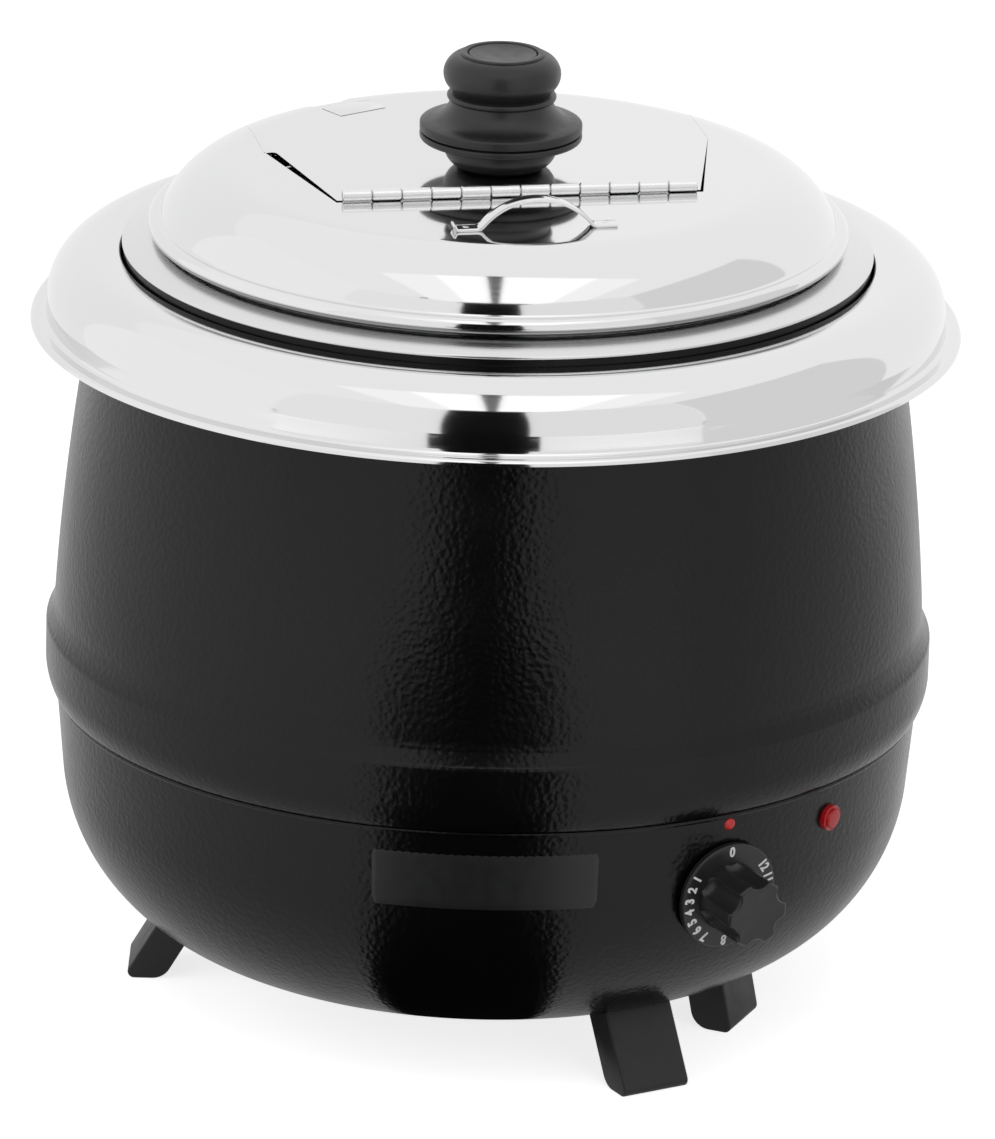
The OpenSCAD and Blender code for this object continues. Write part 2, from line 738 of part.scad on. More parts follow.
// Side view of a leg: a leaning slab with a flat sole between two rounded edges
module leg_profile(reach, lean) {
  toe = leg_corner / tan((90 - lean) / 2);
  heel = leg_heel / tan((90 + lean) / 2);
  tip = reach + toe - leg_corner;
  back = tip - leg_t;
  run = leg_top * tan(lean);
  polygon([[back + heel, 0], [tip - toe, 0], [tip - toe * sin(lean), toe * cos(lean)],
           [tip - run, leg_top], [back - run, leg_top],
           [back - heel * sin(lean), heel * cos(lean)]]);
  translate([tip - toe, leg_corner]) circle(r = leg_corner, $fn = 48);
  translate([back + heel, leg_heel]) circle(r = leg_heel, $fn = 72);
}

module leg(spec) {
  reach = spec[1];
  lean = spec[2];
  color(black_plastic) rotate([0, 0, spec[0] - 90]) difference() {
    translate([0, leg_w / 2, 0]) rotate([90, 0, 0]) linear_extrude(leg_w) leg_profile(reach, lean);
    rotate_extrude($fn = 180) bowl_section(0);
    // groove down the outer face
    translate([reach, -leg_w / 2 + leg_strip, groove_z]) rotate([0, -lean, 0])
      translate([-0.5, 0, 0]) cube([3, groove_w, leg_top]);
    leg_screw_holes(spec) translate([0, 0, -leg_screw_l - 0.4])
      cylinder(r = screw_r + 0.1, h = 20, $fn = 32);
  }
}

function leg_screw_x(spec) = spec[1] - 24 * tan(spec[2]) - leg_t / 2;

module leg_screw_holes(spec) {
  for (y = [-6.5, 6.5]) translate([leg_screw_x(spec), y, bowl_under(leg_screw_x(spec))]) children();
}

module leg_screw_places(spec) {
  rotate([0, 0, spec[0] - 90]) leg_screw_holes(spec) children();
}

module leg_front() { leg(legs[0]); }
module leg_side() { leg(legs[1]); }
module leg_rear() { leg(legs[2]); }
module leg_left() { leg(legs[3]); }

module leg_screws() {
  color(steel) for (spec = legs) leg_screw_places(spec) translate([0, 0, bowl_t + 1.6])
    screw(screw_r, leg_screw_l, head_r, head_h);
}

// Keeps a child inside the bowl's inner face
module inside_bowl() {
  intersection() {
    children();
    rotate_extrude($fn = 180) bowl_section(bowl_t + 0.05);
  }
}

// Terminal block and earth stud stand on the bowl behind the hatch
block_l = 30;
block_w = 12;
block_h = 16;
block_y = shield_r + 11.5;
stud_y = block_y - 8;
wire_r = 2;
module terminal_block() {
  pitch = block_l / 3;
  color([0.85, 0.84, 0.78]) difference() {
    inside_bowl() translate([-2 * pitch, block_y, bowl_z]) cube([block_l, block_w, block_h]);
    for (i = [-1.5, -0.5, 0.5]) translate([i * pitch, block_y - 1, bowl_z + block_h - 5])
      rotate([-90, 0, 0]) cylinder(r = wire_r, h = block_w + 2, $fn = 24);
  }
}

module earth_stud() {
  color([0.85, 0.70, 0.35]) inside_bowl() translate([-hatch_r * 0.75, stud_y, bowl_z]) {
    cylinder(r = 2, h = 16, $fn = 32);
    cylinder(r = 4.2, h = 8, $fn = 6);
  }
}

// ---- collar ring and pot -----------------------------------------------------------------

module ring_section(t) {
  wall = ring_wall - t;
  cx = ring_wall - ring_shoulder;
  cz = ring_top - ring_shoulder;
  translate([0, ring_z - 1]) square([wall, cz - ring_z + 1]);
  translate([0, ring_z - 1]) square([cx, ring_top - t - ring_z + 1]);
  intersection() {
    translate([cx, cz]) circle(r = ring_shoulder - t, $fn = 96);
    translate([0, cz - 1]) square([big, big]);
  }
}

module collar_ring() {
  color(steel) rotate_extrude($fn = 180) difference() {
    union() {
      intersection() {
        ring_section(0);
        translate([0, ring_z + ring_drop]) square([big, big]);
      }
      difference() {
        translate([0, ring_z + ring_drop - ring_t]) square([ring_r - ring_drop, ring_t]);
        ring_section(ring_t);
      }
      translate([ring_r - ring_drop, ring_z]) difference() {
        circle(r = ring_drop, $fn = 48);
        circle(r = ring_drop - ring_t, $fn = 48);
        translate([-5, -5]) square([5, 10]);
        translate([-5, -5]) square([10, 5]);
      }
    }
    difference() {
      ring_section(ring_t);
      translate([0, flange_z]) square([ring_in + ring_t, ring_top - flange_z]);
    }
    translate([0, ring_z - 1]) square([ring_in, ring_h + 2]);
  }
}

module inset_pot() {
  color(steel) rotate_extrude($fn = 180) difference() {
    union() {
      pan_section(pot_out, pot_z - pot_t, rim_z, pot_corner + pot_t);
      translate([0, rim_z - rim_t]) square([rim_r - rim_t / 2, rim_t]);
      translate([rim_r - rim_t / 2, rim_z - rim_t / 2]) circle(r = rim_t / 2, $fn = 32);
    }
    pan_section(pot_r, pot_z, rim_z + 1, pot_corner);
  }
}

// ---- lid ---------------------------------------------------------------------------------

// Section of the whole lid: flat top, round shoulder, rolled bead, and the foot that a web holds inside it
lid_neck = lid_r - 3.6;
shoulder_cx = lid_neck - lid_shoulder * 0.97;
bead_z = rim_z + lid_gap + lid_bead;
foot_r = pot_r + 0.9;
module lid_disc(t) {
  cz = lid_z - lid_shoulder;
  intersection() {
    translate([0, bead_z - 0.5]) square([big, lid_z - bead_z + 0.5 - t]);
    union() {
      square([shoulder_cx, lid_z]);
      translate([shoulder_cx, cz]) circle(r = lid_shoulder - t, $fn = 128);
    }
  }
}

module lid_foot() {
  translate([foot_r, rim_z]) square([lid_t, bead_z - rim_z]);
  translate([foot_r, bead_z - lid_t]) square([lid_r - lid_bead - foot_r, lid_t]);
}

module lid_section() {
  difference() {
    union() {
      lid_disc(0);
      translate([lid_r - lid_bead, bead_z]) circle(r = lid_bead, $fn = 48);
      lid_foot();
    }
    difference() {
      lid_disc(lid_t);
      translate([lid_r - lid_bead, bead_z]) circle(r = lid_bead, $fn = 48);
      lid_foot();
    }
    translate([0, rim_z - 1]) square([foot_r, bead_z - rim_z + 1]);
  }
}

// Plan of the rear leaf, grown by a gap on each side
module flap_plan(gap, open) {
  polygon([
    [-flap_near - gap, -hinge_y + hinge_slot / 2 - gap],
    [flap_near + gap, -hinge_y + hinge_slot / 2 - gap],
    [flap_far + gap, flap_corner_y - 4],
    [flap_far + gap, big / 2],
    [-flap_far - gap, big / 2],
    [-flap_far - gap - open * 0.3, flap_corner_y + 3],
    [-flap_far - gap - open, flap_corner_y]
  ]);
}
hinge_slot = 2 * knuckle_web + 0.4;

module on_lid() {
  rotate([0, 0, lid_turn]) children();
}

module hinge_cut(z0, h) {
  translate([-hinge_len / 2 - 0.6, -hinge_y - hinge_slot / 2, z0])
    cube([hinge_len + 1.2, hinge_slot + eps, h]);
}

// Ring under the fixed front that drops into the pot
module spigot_section() {
  r = pot_r - spigot_play;
  translate([r - lid_t, rim_z - lid_spigot]) square([lid_t, lid_spigot + 1]);
  translate([r - lid_t, rim_z]) square([foot_r - r + 1.5 * lid_t, lid_t]);
}

module lid_front() {
  color(steel) on_lid() difference() {
    rotate_extrude($fn = 180) union() {
      lid_section();
      spigot_section();
    }
    translate([0, 0, rim_z - lid_spigot - 5]) linear_extrude(lid_rise + lid_spigot + 10)
      flap_plan(slit_w, slit_open);
    hinge_cut(lid_z - 8, 12);
  }
}

notch_soft = 3;
module lid_flap() {
  color(steel) on_lid() difference() {
    intersection() {
      rotate_extrude($fn = 180) lid_section();
      translate([0, 0, rim_z - 5]) linear_extrude(lid_rise + 10) flap_plan(0, 0);
    }
    // notch for the ladle's handle
    rotate([0, 0, notch_bearing]) translate([0, notch_in, rim_z - 5]) {
      translate([-notch_w / 2, notch_soft, 0]) cube([notch_w, lid_r, lid_rise + 10]);
      translate([-notch_w / 2 + notch_soft, 0, 0]) cube([notch_w - 2 * notch_soft, lid_r, lid_rise + 10]);
      for (s = [-1, 1]) translate([s * (notch_w / 2 - notch_soft), notch_soft, 0])
        cylinder(r = notch_soft, h = lid_rise + 10, $fn = 48);
    }
    translate([0, 0, lid_z - 5]) cylinder(r = knob_screw_r + 0.05, h = 10, $fn = 32);
  }
}

// ---- hinge -------------------------------------------------------------------------------

knuckle_l = hinge_len / knuckle_n;
leaf_z = lid_z - lid_t - leaf_t;
hinge_z = lid_z + knuckle_r;
function knuckle_x(i) = -hinge_len / 2 + i * knuckle_l + knuckle_gap / 2;

module knuckles(first) {
  for (i = [first : 2 : knuckle_n - 1]) translate([knuckle_x(i), -hinge_y, hinge_z])
    rotate([0, 90, 0]) cylinder(r = knuckle_r, h = knuckle_l - knuckle_gap, $fn = 40);
}

// Each knuckle stands on a web that drops through the slot to its own leaf
module leaf_webs(first, side) {
  y0 = -hinge_y + (side > 0 ? 0 : -knuckle_web);
  foot = 3 * knuckle_web;
  for (i = [first : 2 : knuckle_n - 1]) translate([knuckle_x(i), 0, leaf_z]) {
    translate([0, y0, 0]) cube([knuckle_l - knuckle_gap, knuckle_web, hinge_z - leaf_z]);
    translate([0, side > 0 ? -hinge_y : -hinge_y - foot, 0]) cube([knuckle_l - knuckle_gap, foot, leaf_t]);
  }
}

module hinge_leaf(first, side) {
  edge = hinge_slot / 2 + 0.3;
  color(steel) on_lid() difference() {
    union() {
      knuckles(first);
      leaf_webs(first, side);
      translate([-hinge_len / 2, side > 0 ? -hinge_y + edge : -hinge_y - edge - leaf_w, leaf_z])
        cube([hinge_len, leaf_w, leaf_t]);
    }
    translate([-hinge_len / 2 - 1, -hinge_y, hinge_z]) rotate([0, 90, 0])
      cylinder(r = side > 0 ? pin_r + pin_play : pin_r, h = hinge_len + 2, $fn = 32);
  }
}

module hinge_leaf_front() { hinge_leaf(0, -1); }
module hinge_leaf_rear() { hinge_leaf(1, 1); }

module hinge_pin() {
  color(steel) on_lid() translate([-hinge_len / 2 + 0.2, -hinge_y, hinge_z]) rotate([0, 90, 0])
    cylinder(r = pin_r, h = hinge_len - 0.4, $fn = 32);
}

// ---- strap -------------------------------------------------------------------------------

// The strap's arch is one circle that stands on the lid and meets the flat ends
strap_lap = 1.6;
tab_turn = 115;
module strap_section() {
  half = strap_span / 2;
  arc_r = (half * half + strap_rise * strap_rise) / (2 * strap_rise);
  end = -half - strap_foot + strap_lap;
  intersection() {
    translate([0, strap_rise - arc_r]) difference() {
      circle(r = arc_r, $fn = 120);
      circle(r = arc_r - strap_t, $fn = 120);
    }
    translate([-half, 0]) square([2 * half, strap_rise + 1]);
  }
  for (x = [half - strap_lap, end]) translate([x, 0]) square([strap_foot, strap_t]);
  translate([end, 0]) rotate([0, 0, tab_turn]) translate([0, -strap_t]) square([strap_tab, strap_t]);
  translate([end, strap_t * 0.5]) circle(r = strap_t * 0.5, $fn = 24);
}

module lid_strap() {
  color(steel) on_lid() translate([0, -strap_y + strap_w / 2, lid_z]) rotate([90, 0, 0])
    linear_extrude(strap_w) strap_section();
}

// ---- knob --------------------------------------------------------------------------------

flange_lo = 10.2;
flange_mid = 13.4;
flange_hi = 17.4;
neck_h = 26;
sweep_r = 8.4;
cap_dish_r = 120;
module knob_foot() {
  color(black_plastic) on_lid() translate([0, 0, lid_z]) difference() {
    rotate_extrude($fn = 120)
      polygon([[0, 0], [knob_foot_r, 0], [knob_foot_r + 2, flange_lo], [knob_flange_r - 1.6, flange_lo],
               [knob_flange_r, flange_lo + 1.6], [knob_flange_r, flange_mid - 0.5],
               [knob_flange_r - 0.7, flange_mid], [0, flange_mid]]);
    translate([0, 0, -1]) cylinder(r = knob_screw_r, h = flange_mid + 2, $fn = 32);
  }
}

module knob_grip() {
  head_z = knob_h - knob_round - 0.9;
  head_x = knob_head_r - knob_round;
  color(black_plastic) on_lid() translate([0, 0, lid_z]) difference() {
    rotate_extrude($fn = 120) difference() {
      union() {
        polygon([[0, flange_mid], [knob_flange_r - 0.7, flange_mid], [knob_flange_r, flange_mid + 0.5],
                 [knob_flange_r, flange_hi - 0.6], [knob_flange_r - 0.6, flange_hi],
                 [knob_neck_r + sweep_r, flange_hi + 0.8], [knob_neck_r, neck_h], [0, neck_h]]);
        translate([0, neck_h - eps]) square([knob_neck_r, 4]);
        translate([knob_neck_r, neck_h + 1]) circle(r = 1.2, $fn = 32);
        translate([head_x, head_z]) circle(r = knob_round, $fn = 96);
        translate([0, neck_h]) square([head_x, knob_h - neck_h - 0.9]);
        translate([0, knob_h - 3]) square([knob_cap_r - 0.9, 3]);
        translate([0, knob_h - 3]) square([knob_cap_r, 2.1]);
        translate([knob_cap_r - 0.9, knob_h - 0.9]) circle(r = 0.9, $fn = 32);
      }
      // sweep of the skirt up to the neck
      translate([knob_neck_r + sweep_r, flange_hi + sweep_r + 0.8]) circle(r = sweep_r, $fn = 96);
      translate([0, knob_h - 1.4]) square([knob_cap_r - 2.6, 3]);
      translate([0, flange_mid - 1]) square([knob_screw_r, 12]);
    }
    // small notch at the front of the cap's ring
    translate([0, -knob_cap_r, knob_h]) sphere(r = 1, $fn = 24);
  }
}

module knob_cap() {
  r = knob_cap_r - 2.6;
  color(black_plastic) on_lid() translate([0, 0, lid_z + knob_h - 1.4])
    rotate_extrude($fn = 96) difference() {
      square([r, 1.1]);
      translate([0, cap_dish_r + 0.6]) circle(r = cap_dish_r, $fn = 720);
    }
}

washer_r = 8;
washer_t = 1.2;
module knob_screw() {
  color(steel) on_lid() translate([0, 0, lid_z - lid_t - washer_t]) mirror([0, 0, 1])
    screw(knob_screw_r, flange_mid + 11, 4.5, 2.4);
}

module knob_washer() {
  color(steel) on_lid() translate([0, 0, lid_z - lid_t - washer_t])
    ring(washer_r, knob_screw_r + 0.05, washer_t);
}

upper_shell();
lower_bowl();
water_well();
insulation_sleeve();
heating_element();
heater_clamp();
heat_shield();
thermal_cutout();
cutout_screws();
control_switch();
control_nut();
sensor_bulb();
sensor_clip();
terminal_block();
earth_stud();
lamp_lens();
lamp_body();
index_dot();
cord_gland();
gland_nut();
base_plate();
base_screws();
tie_rod();
tie_nuts();
leg_front();
leg_side();
leg_rear();
leg_left();
leg_screws();
control_dial();
dial_shaft();
collar_ring();
inset_pot();
lid_front();
hinge_leaf_front();
hinge_pin();
lid_strap();
lid_flap();
hinge_leaf_rear();
knob_foot();
knob_grip();
knob_cap();
knob_screw();
knob_washer();
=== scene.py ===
import json
from math import acos, asin, atan2, cos, degrees, pi, radians, sin, sqrt, tan

import bmesh
import bpy
from mathutils import Matrix, Vector


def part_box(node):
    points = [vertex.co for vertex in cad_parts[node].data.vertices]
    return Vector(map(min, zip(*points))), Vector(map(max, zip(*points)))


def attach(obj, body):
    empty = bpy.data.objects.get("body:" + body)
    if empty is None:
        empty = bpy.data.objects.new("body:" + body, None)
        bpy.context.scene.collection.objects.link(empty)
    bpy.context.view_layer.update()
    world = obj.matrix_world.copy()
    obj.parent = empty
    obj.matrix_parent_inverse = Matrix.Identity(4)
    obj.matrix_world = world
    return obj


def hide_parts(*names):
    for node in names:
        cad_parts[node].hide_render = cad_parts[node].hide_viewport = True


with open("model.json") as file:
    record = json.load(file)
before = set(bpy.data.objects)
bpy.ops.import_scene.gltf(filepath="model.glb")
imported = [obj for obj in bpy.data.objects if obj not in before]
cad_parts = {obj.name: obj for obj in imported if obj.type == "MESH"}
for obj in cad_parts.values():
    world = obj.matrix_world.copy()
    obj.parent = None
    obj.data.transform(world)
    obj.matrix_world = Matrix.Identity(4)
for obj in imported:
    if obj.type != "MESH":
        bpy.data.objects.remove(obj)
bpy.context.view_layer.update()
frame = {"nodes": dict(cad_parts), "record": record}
mm = 0.001
print("frame loaded,", len(frame["nodes"]), "nodes")


# mesh tools: outlines are lists of (radius, height) in mm

def cadLow(node):
    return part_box(node)[0] / mm


def cadHigh(node):
    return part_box(node)[1] / mm


def arc(centre, radius, start, end, steps=12):
    # points on a circle, angles in degrees from the outward direction towards up
    out = []
    for i in range(steps + 1):
        a = radians(start + (end - start) * i / steps)
        out.append((centre[0] + radius * cos(a), centre[1] + radius * sin(a)))
    return out


def spin(outline, segments=256, closed=True):
    # turns an outline once round the vertical axis
    verts, faces, rings = [], [], []
    for r, z in outline:
        if r < 0.001:
            rings.append([len(verts)] * segments)
            verts.append((0, 0, z))
            continue
        rings.append([len(verts) + i for i in range(segments)])
        for i in range(segments):
            a = 2 * pi * i / segments
            verts.append((r * cos(a), r * sin(a), z))
    pairs = list(zip(rings, rings[1:]))
    if closed:
        pairs.append((rings[-1], rings[0]))
    for low, high in pairs:
        for i in range(segments):
            j = (i + 1) % segments
            face = list(dict.fromkeys([low[i], low[j], high[j], high[i]]))
            if len(face) > 2:
                faces.append(face)
    return verts, faces


def sector(outline, startAt, endAt, columns, closed=False):
    # like spin, but only between two angles that may change with the radius
    verts, faces = [], []
    for r, z in outline:
        a0, a1 = startAt(r), endAt(r)
        for i in range(columns + 1):
            a = radians(a0 + (a1 - a0) * i / columns)
            verts.append((r * cos(a), r * sin(a), z))
    rows = len(outline)
    for k in range(rows if closed else rows - 1):
        low, high = k * (columns + 1), (k + 1) % rows * (columns + 1)
        for i in range(columns):
            faces.append((low + i, low + i + 1, high + i + 1, high + i))
    if closed:
        faces.append([k * (columns + 1) for k in range(rows)])
        faces.append([k * (columns + 1) + columns for k in reversed(range(rows))])
    return verts, faces


def joinParts(parts):
    verts, faces = [], []
    for partVerts, partFaces in parts:
        base = len(verts)
        verts += partVerts
        faces += [[base + i for i in face] for face in partFaces]
    return verts, faces


def box(x0, x1, y0, y1, z0, z1):
    verts = [(x, y, z) for x in (x0, x1) for y in sorted((y0, y1)) for z in (z0, z1)]
    faces = [(0, 1, 3, 2), (4, 6, 7, 5), (0, 4, 5, 1), (2, 3, 7, 6), (0, 2, 6, 4), (1, 5, 7, 3)]
    return verts, faces


def moved(part, matrix):
    return [tuple(matrix @ Vector(v)) for v in part[0]], part[1]


def bakeModifiers(obj):
    graph = bpy.context.evaluated_depsgraph_get()
    mesh = bpy.data.meshes.new_from_object(obj.evaluated_get(graph))
    obj.modifiers.clear()
    obj.data = mesh


def newMesh(name, verts, faces):
    mesh = bpy.data.meshes.new(name)
    mesh.from_pydata(verts, [], faces)
    return mesh


def newObject(name, data):
    obj = bpy.data.objects.new(name, data)
    bpy.context.scene.collection.objects.link(obj)
    return obj


def addPiece(name, part, body, slot, material=None, sharp=32, place=None, thickness=0, bevel=0, bevelSteps=3):
    # makes an object from (vertices, faces) in mm and lets it ride on a body; its look is its slot's
    # finish, unless a material is given
    mesh = newMesh(name, [Vector(v) * mm for v in part[0]], part[1])
    work = bmesh.new()
    work.from_mesh(mesh)
    bmesh.ops.remove_doubles(work, verts=work.verts, dist=1e-6)
    bmesh.ops.recalc_face_normals(work, faces=work.faces)
    work.to_mesh(mesh)
    work.free()
    obj = newObject(name, mesh)
    if thickness:
        solid = obj.modifiers.new("sheet", "SOLIDIFY")
        solid.thickness = thickness * mm
        solid.offset = -1
        bakeModifiers(obj)
    if bevel:
        edge = obj.modifiers.new("edges", "BEVEL")
        edge.width = bevel * mm
        edge.segments = bevelSteps
        edge.limit_method = "ANGLE"
        edge.angle_limit = radians(35)
        bakeModifiers(obj)
    if place:
        obj.data.transform(place)
    obj.data.shade_smooth()
    obj.data.set_sharp_from_angle(angle=radians(sharp))
    obj.data.materials.clear()
    obj.data.materials.append(material or finish[slot])
    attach(obj, body)
    return obj


# materials

def newMaterial(name, color, roughness, metallic=0.0):
    material = bpy.data.materials.new(name)
    material.use_nodes = True
    shader = material.node_tree.nodes["Principled BSDF"]
    shader.inputs["Base Color"].default_value = (*color, 1)
    shader.inputs["Roughness"].default_value = roughness
    shader.inputs["Metallic"].default_value = metallic
    return material, material.node_tree, shader


def addNode(tree, kind, settings=None, **inputs):
    # a node with its settings, and its sockets set to a value or linked from another socket
    node = tree.nodes.new(kind)
    for key, value in (settings or {}).items():
        setattr(node, key, value)
    for key, value in inputs.items():
        socket = node.inputs[key.replace("_", " ")] if not key[1:].isdigit() else node.inputs[int(key[1:])]
        if isinstance(value, bpy.types.NodeSocket):
            tree.links.new(value, socket)
        else:
            socket.default_value = value
    return node


def mathNode(tree, operation, *values):
    sockets = {"s%d" % i: value for i, value in enumerate(values)}
    return addNode(tree, "ShaderNodeMath", {"operation": operation}, **sockets).outputs[0]


def objectPoint(tree, scale=(1, 1, 1)):
    coords = addNode(tree, "ShaderNodeTexCoord")
    return addNode(tree, "ShaderNodeMapping", s0=coords.outputs["Object"], Scale=scale).outputs[0]


def noise(tree, point, scale, detail=3.0, rough=0.5):
    node = addNode(tree, "ShaderNodeTexNoise", Vector=point, Scale=scale, Detail=detail, Roughness=rough)
    return node.outputs["Fac"]


def spread(tree, value, low, high, fromLow=0.3, fromHigh=0.7):
    node = addNode(tree, "ShaderNodeMapRange", s0=value, s1=fromLow, s2=fromHigh, s3=low, s4=high)
    return node.outputs[0]


def blendColors(tree, value, first, second):
    ramp = addNode(tree, "ShaderNodeValToRGB", s0=value)
    ramp.color_ramp.elements[0].position = 0.3
    ramp.color_ramp.elements[0].color = (*first, 1)
    ramp.color_ramp.elements[1].position = 0.7
    ramp.color_ramp.elements[1].color = (*second, 1)
    return ramp.outputs[0]


def addBump(tree, shader, height, strength, depth):
    bump = addNode(tree, "ShaderNodeBump", Height=height, Strength=strength, Distance=depth * mm)
    tree.links.new(bump.outputs[0], shader.inputs["Normal"])


def hammeredPaint():
    # black powder coat with an orange-peel skin of small uneven cells
    look = {"color": (0.0016, 0.0016, 0.0018),
            "dark": (0.0013, 0.0013, 0.0014), "light": (0.0020, 0.0020, 0.0022),
            "rough": 0.215, "gloss": 0.29, "cell": 2.1, "warp": 0.0018, "fine": 0.25,
            "depth": 0.24, "strength": 0.5}
    material, tree, shader = newMaterial("hammeredPaint", look["color"], look["rough"])
    shader.inputs["Specular IOR Level"].default_value = look["gloss"]
    point = objectPoint(tree)
    warp = addNode(tree, "ShaderNodeTexNoise", Vector=point, Scale=260, Detail=2.0)
    bent = addNode(tree, "ShaderNodeVectorMath", {"operation": "MULTIPLY_ADD"}, s0=warp.outputs["Color"],
                   s1=(look["warp"],) * 3, s2=point)
    cells = addNode(tree, "ShaderNodeTexVoronoi", {"feature": "SMOOTH_F1"}, Vector=bent.outputs[0],
                    Scale=1000 / look["cell"], Smoothness=0.7)
    fine = noise(tree, point, 900, 2.0)
    height = mathNode(tree, "MULTIPLY_ADD", fine, look["fine"], cells.outputs["Distance"])
    addBump(tree, shader, height, look["strength"], look["depth"])
    tree.links.new(spread(tree, noise(tree, point, 40), look["rough"] - 0.02, look["rough"] + 0.04),
                   shader.inputs["Roughness"])
    tree.links.new(blendColors(tree, noise(tree, point, 25), look["dark"], look["light"]),
                   shader.inputs["Base Color"])
    return material


def enamelBlack():
    material, tree, shader = newMaterial("enamelBlack", (0.003, 0.003, 0.003), 0.3)
    shader.inputs["Specular IOR Level"].default_value = 0.2
    point = objectPoint(tree)
    tree.links.new(spread(tree, noise(tree, point, 60), 0.24, 0.36), shader.inputs["Roughness"])
    addBump(tree, shader, noise(tree, point, 500), 0.2, 0.05)
    return material


def mouldedBlack(name, color, rough, grain):
    # satin moulded plastic with a very fine even grain
    material, tree, shader = newMaterial(name, color, rough)
    point = objectPoint(tree)
    tree.links.new(spread(tree, noise(tree, point, 180), rough - 0.05, rough + 0.05),
                   shader.inputs["Roughness"])
    tint = tuple(c * 1.25 for c in color)
    tree.links.new(blendColors(tree, noise(tree, point, 70), color, tint), shader.inputs["Base Color"])
    addBump(tree, shader, noise(tree, point, 1000 / grain, 4.0), 0.25, 0.04)
    return material


def turnedLines(tree, point, scale, detail):
    # fine noise that is even round the upright axis, as a lathe leaves it
    split = addNode(tree, "ShaderNodeSeparateXYZ", s0=point)
    flat = addNode(tree, "ShaderNodeCombineXYZ", s0=split.outputs[0], s1=split.outputs[1])
    radius = addNode(tree, "ShaderNodeVectorMath", {"operation": "LENGTH"}, s0=flat.outputs[0])
    turned = addNode(tree, "ShaderNodeCombineXYZ", s0=radius.outputs["Value"], s1=split.outputs[2])
    return noise(tree, turned.outputs[0], scale, detail)


def polishedSteel(name, paintedShadeUnder=False):
    # bright steel with faint turned lines; a sheet's underside may get a darker colour as painted shade
    bright = (0.785, 0.785, 0.79)
    material, tree, shader = newMaterial(name, bright, 0.07, 1.0)
    point = objectPoint(tree)
    if paintedShadeUnder:
        # faces that point down get a darker grey base colour: painted shade under the sheet, not a real
        # finish
        facing = addNode(tree, "ShaderNodeTexCoord")
        upward = addNode(tree, "ShaderNodeSeparateXYZ", s0=facing.outputs["Normal"])
        under = mathNode(tree, "LESS_THAN", upward.outputs[2], -0.2)
        shade = blendColors(tree, under, bright, (0.34, 0.34, 0.345))
        tree.links.new(shade, shader.inputs["Base Color"])
    lines = turnedLines(tree, point, 1400, 2.0)
    soft = noise(tree, point, 14, 2.0)
    mixed = mathNode(tree, "MULTIPLY_ADD", lines, 0.5, soft)
    tree.links.new(spread(tree, mixed, 0.05, 0.09, 0.5, 1.0), shader.inputs["Roughness"])
    addBump(tree, shader, lines, 0.05, 0.01)
    return material


def rolledSteel():
    # satin metal of the hinge's leaves and knuckles
    material, tree, shader = newMaterial("rolledSteel", (0.82, 0.82, 0.82), 0.25, 1.0)
    lines = noise(tree, objectPoint(tree, (60, 900, 900)), 1.0, 2.0)
    tree.links.new(spread(tree, lines, 0.21, 0.30), shader.inputs["Roughness"])
    return material


def brushedSteel(name, color, rough, scale=700):
    material, tree, shader = newMaterial(name, color, rough, 1.0)
    point = objectPoint(tree, (1, 1, 0.05))
    streaks = noise(tree, point, scale, 3.0)
    tree.links.new(spread(tree, streaks, rough - 0.06, rough + 0.08), shader.inputs["Roughness"])
    tint = tuple(c * 0.88 for c in color)
    tree.links.new(blendColors(tree, noise(tree, point, 60), tint, color), shader.inputs["Base Color"])
    addBump(tree, shader, streaks, 0.15, 0.02)
    return material


def turnedSteel():
    # the pot's bright steel with plain circular brushing
    material, tree, shader = newMaterial("turnedSteel", (0.74, 0.74, 0.74), 0.22, 1.0)
    lines = turnedLines(tree, objectPoint(tree), 2200, 3.0)
    tree.links.new(spread(tree, lines, 0.16, 0.28), shader.inputs["Roughness"])
    addBump(tree, shader, lines, 0.12, 0.02)
    return material


def redLens():
    material, tree, shader = newMaterial("redLens", (0.62, 0.012, 0.016), 0.12)
    shader.inputs["Transmission Weight"].default_value = 0.35
    shader.inputs["IOR"].default_value = 1.49
    ribs = noise(tree, objectPoint(tree), 1500, 1.0)
    addBump(tree, shader, ribs, 0.12, 0.03)
    return material


def plainPaint(name, color, rough, grainScale=400):
    material, tree, shader = newMaterial(name, color, rough)
    point = objectPoint(tree)
    tint = tuple(c * 0.85 for c in color)
    tree.links.new(blendColors(tree, noise(tree, point, 90), tint, color), shader.inputs["Base Color"])
    tree.links.new(spread(tree, noise(tree, point, 200), rough - 0.05, rough + 0.05),
                   shader.inputs["Roughness"])
    addBump(tree, shader, noise(tree, point, grainScale), 0.15, 0.04)
    return material


finish = {
    "hammer_black": hammeredPaint(),
    "well_black": enamelBlack(),
    "plate_black": plainPaint("platePaint", (0.014, 0.014, 0.015), 0.5),
    "wool": plainPaint("mineralWool", (0.62, 0.58, 0.42), 0.95, 900),
    "dark_steel": brushedSteel("darkSteel", (0.24, 0.22, 0.21), 0.4),
    "zinc_steel": brushedSteel("zincSteel", (0.62, 0.63, 0.64), 0.34),
    "phenolic_black": mouldedBlack("phenolicBlack", (0.010, 0.010, 0.011), 0.38, 0.5),
    "leg_black": mouldedBlack("legBlack", (0.005, 0.005, 0.0055), 0.42, 0.6),
    "copper": brushedSteel("copperTube", (0.72, 0.38, 0.24), 0.3),
    "ceramic_cream": plainPaint("creamCeramic", (0.70, 0.66, 0.54), 0.25),
    "brass": brushedSteel("plainBrass", (0.74, 0.55, 0.22), 0.28),
    "lamp_red": redLens(),
    "index_red": plainPaint("redEnamel", (0.55, 0.020, 0.022), 0.3),
    "polished_steel": polishedSteel("polishedSteel"),
    "brushed_steel": turnedSteel(),
}
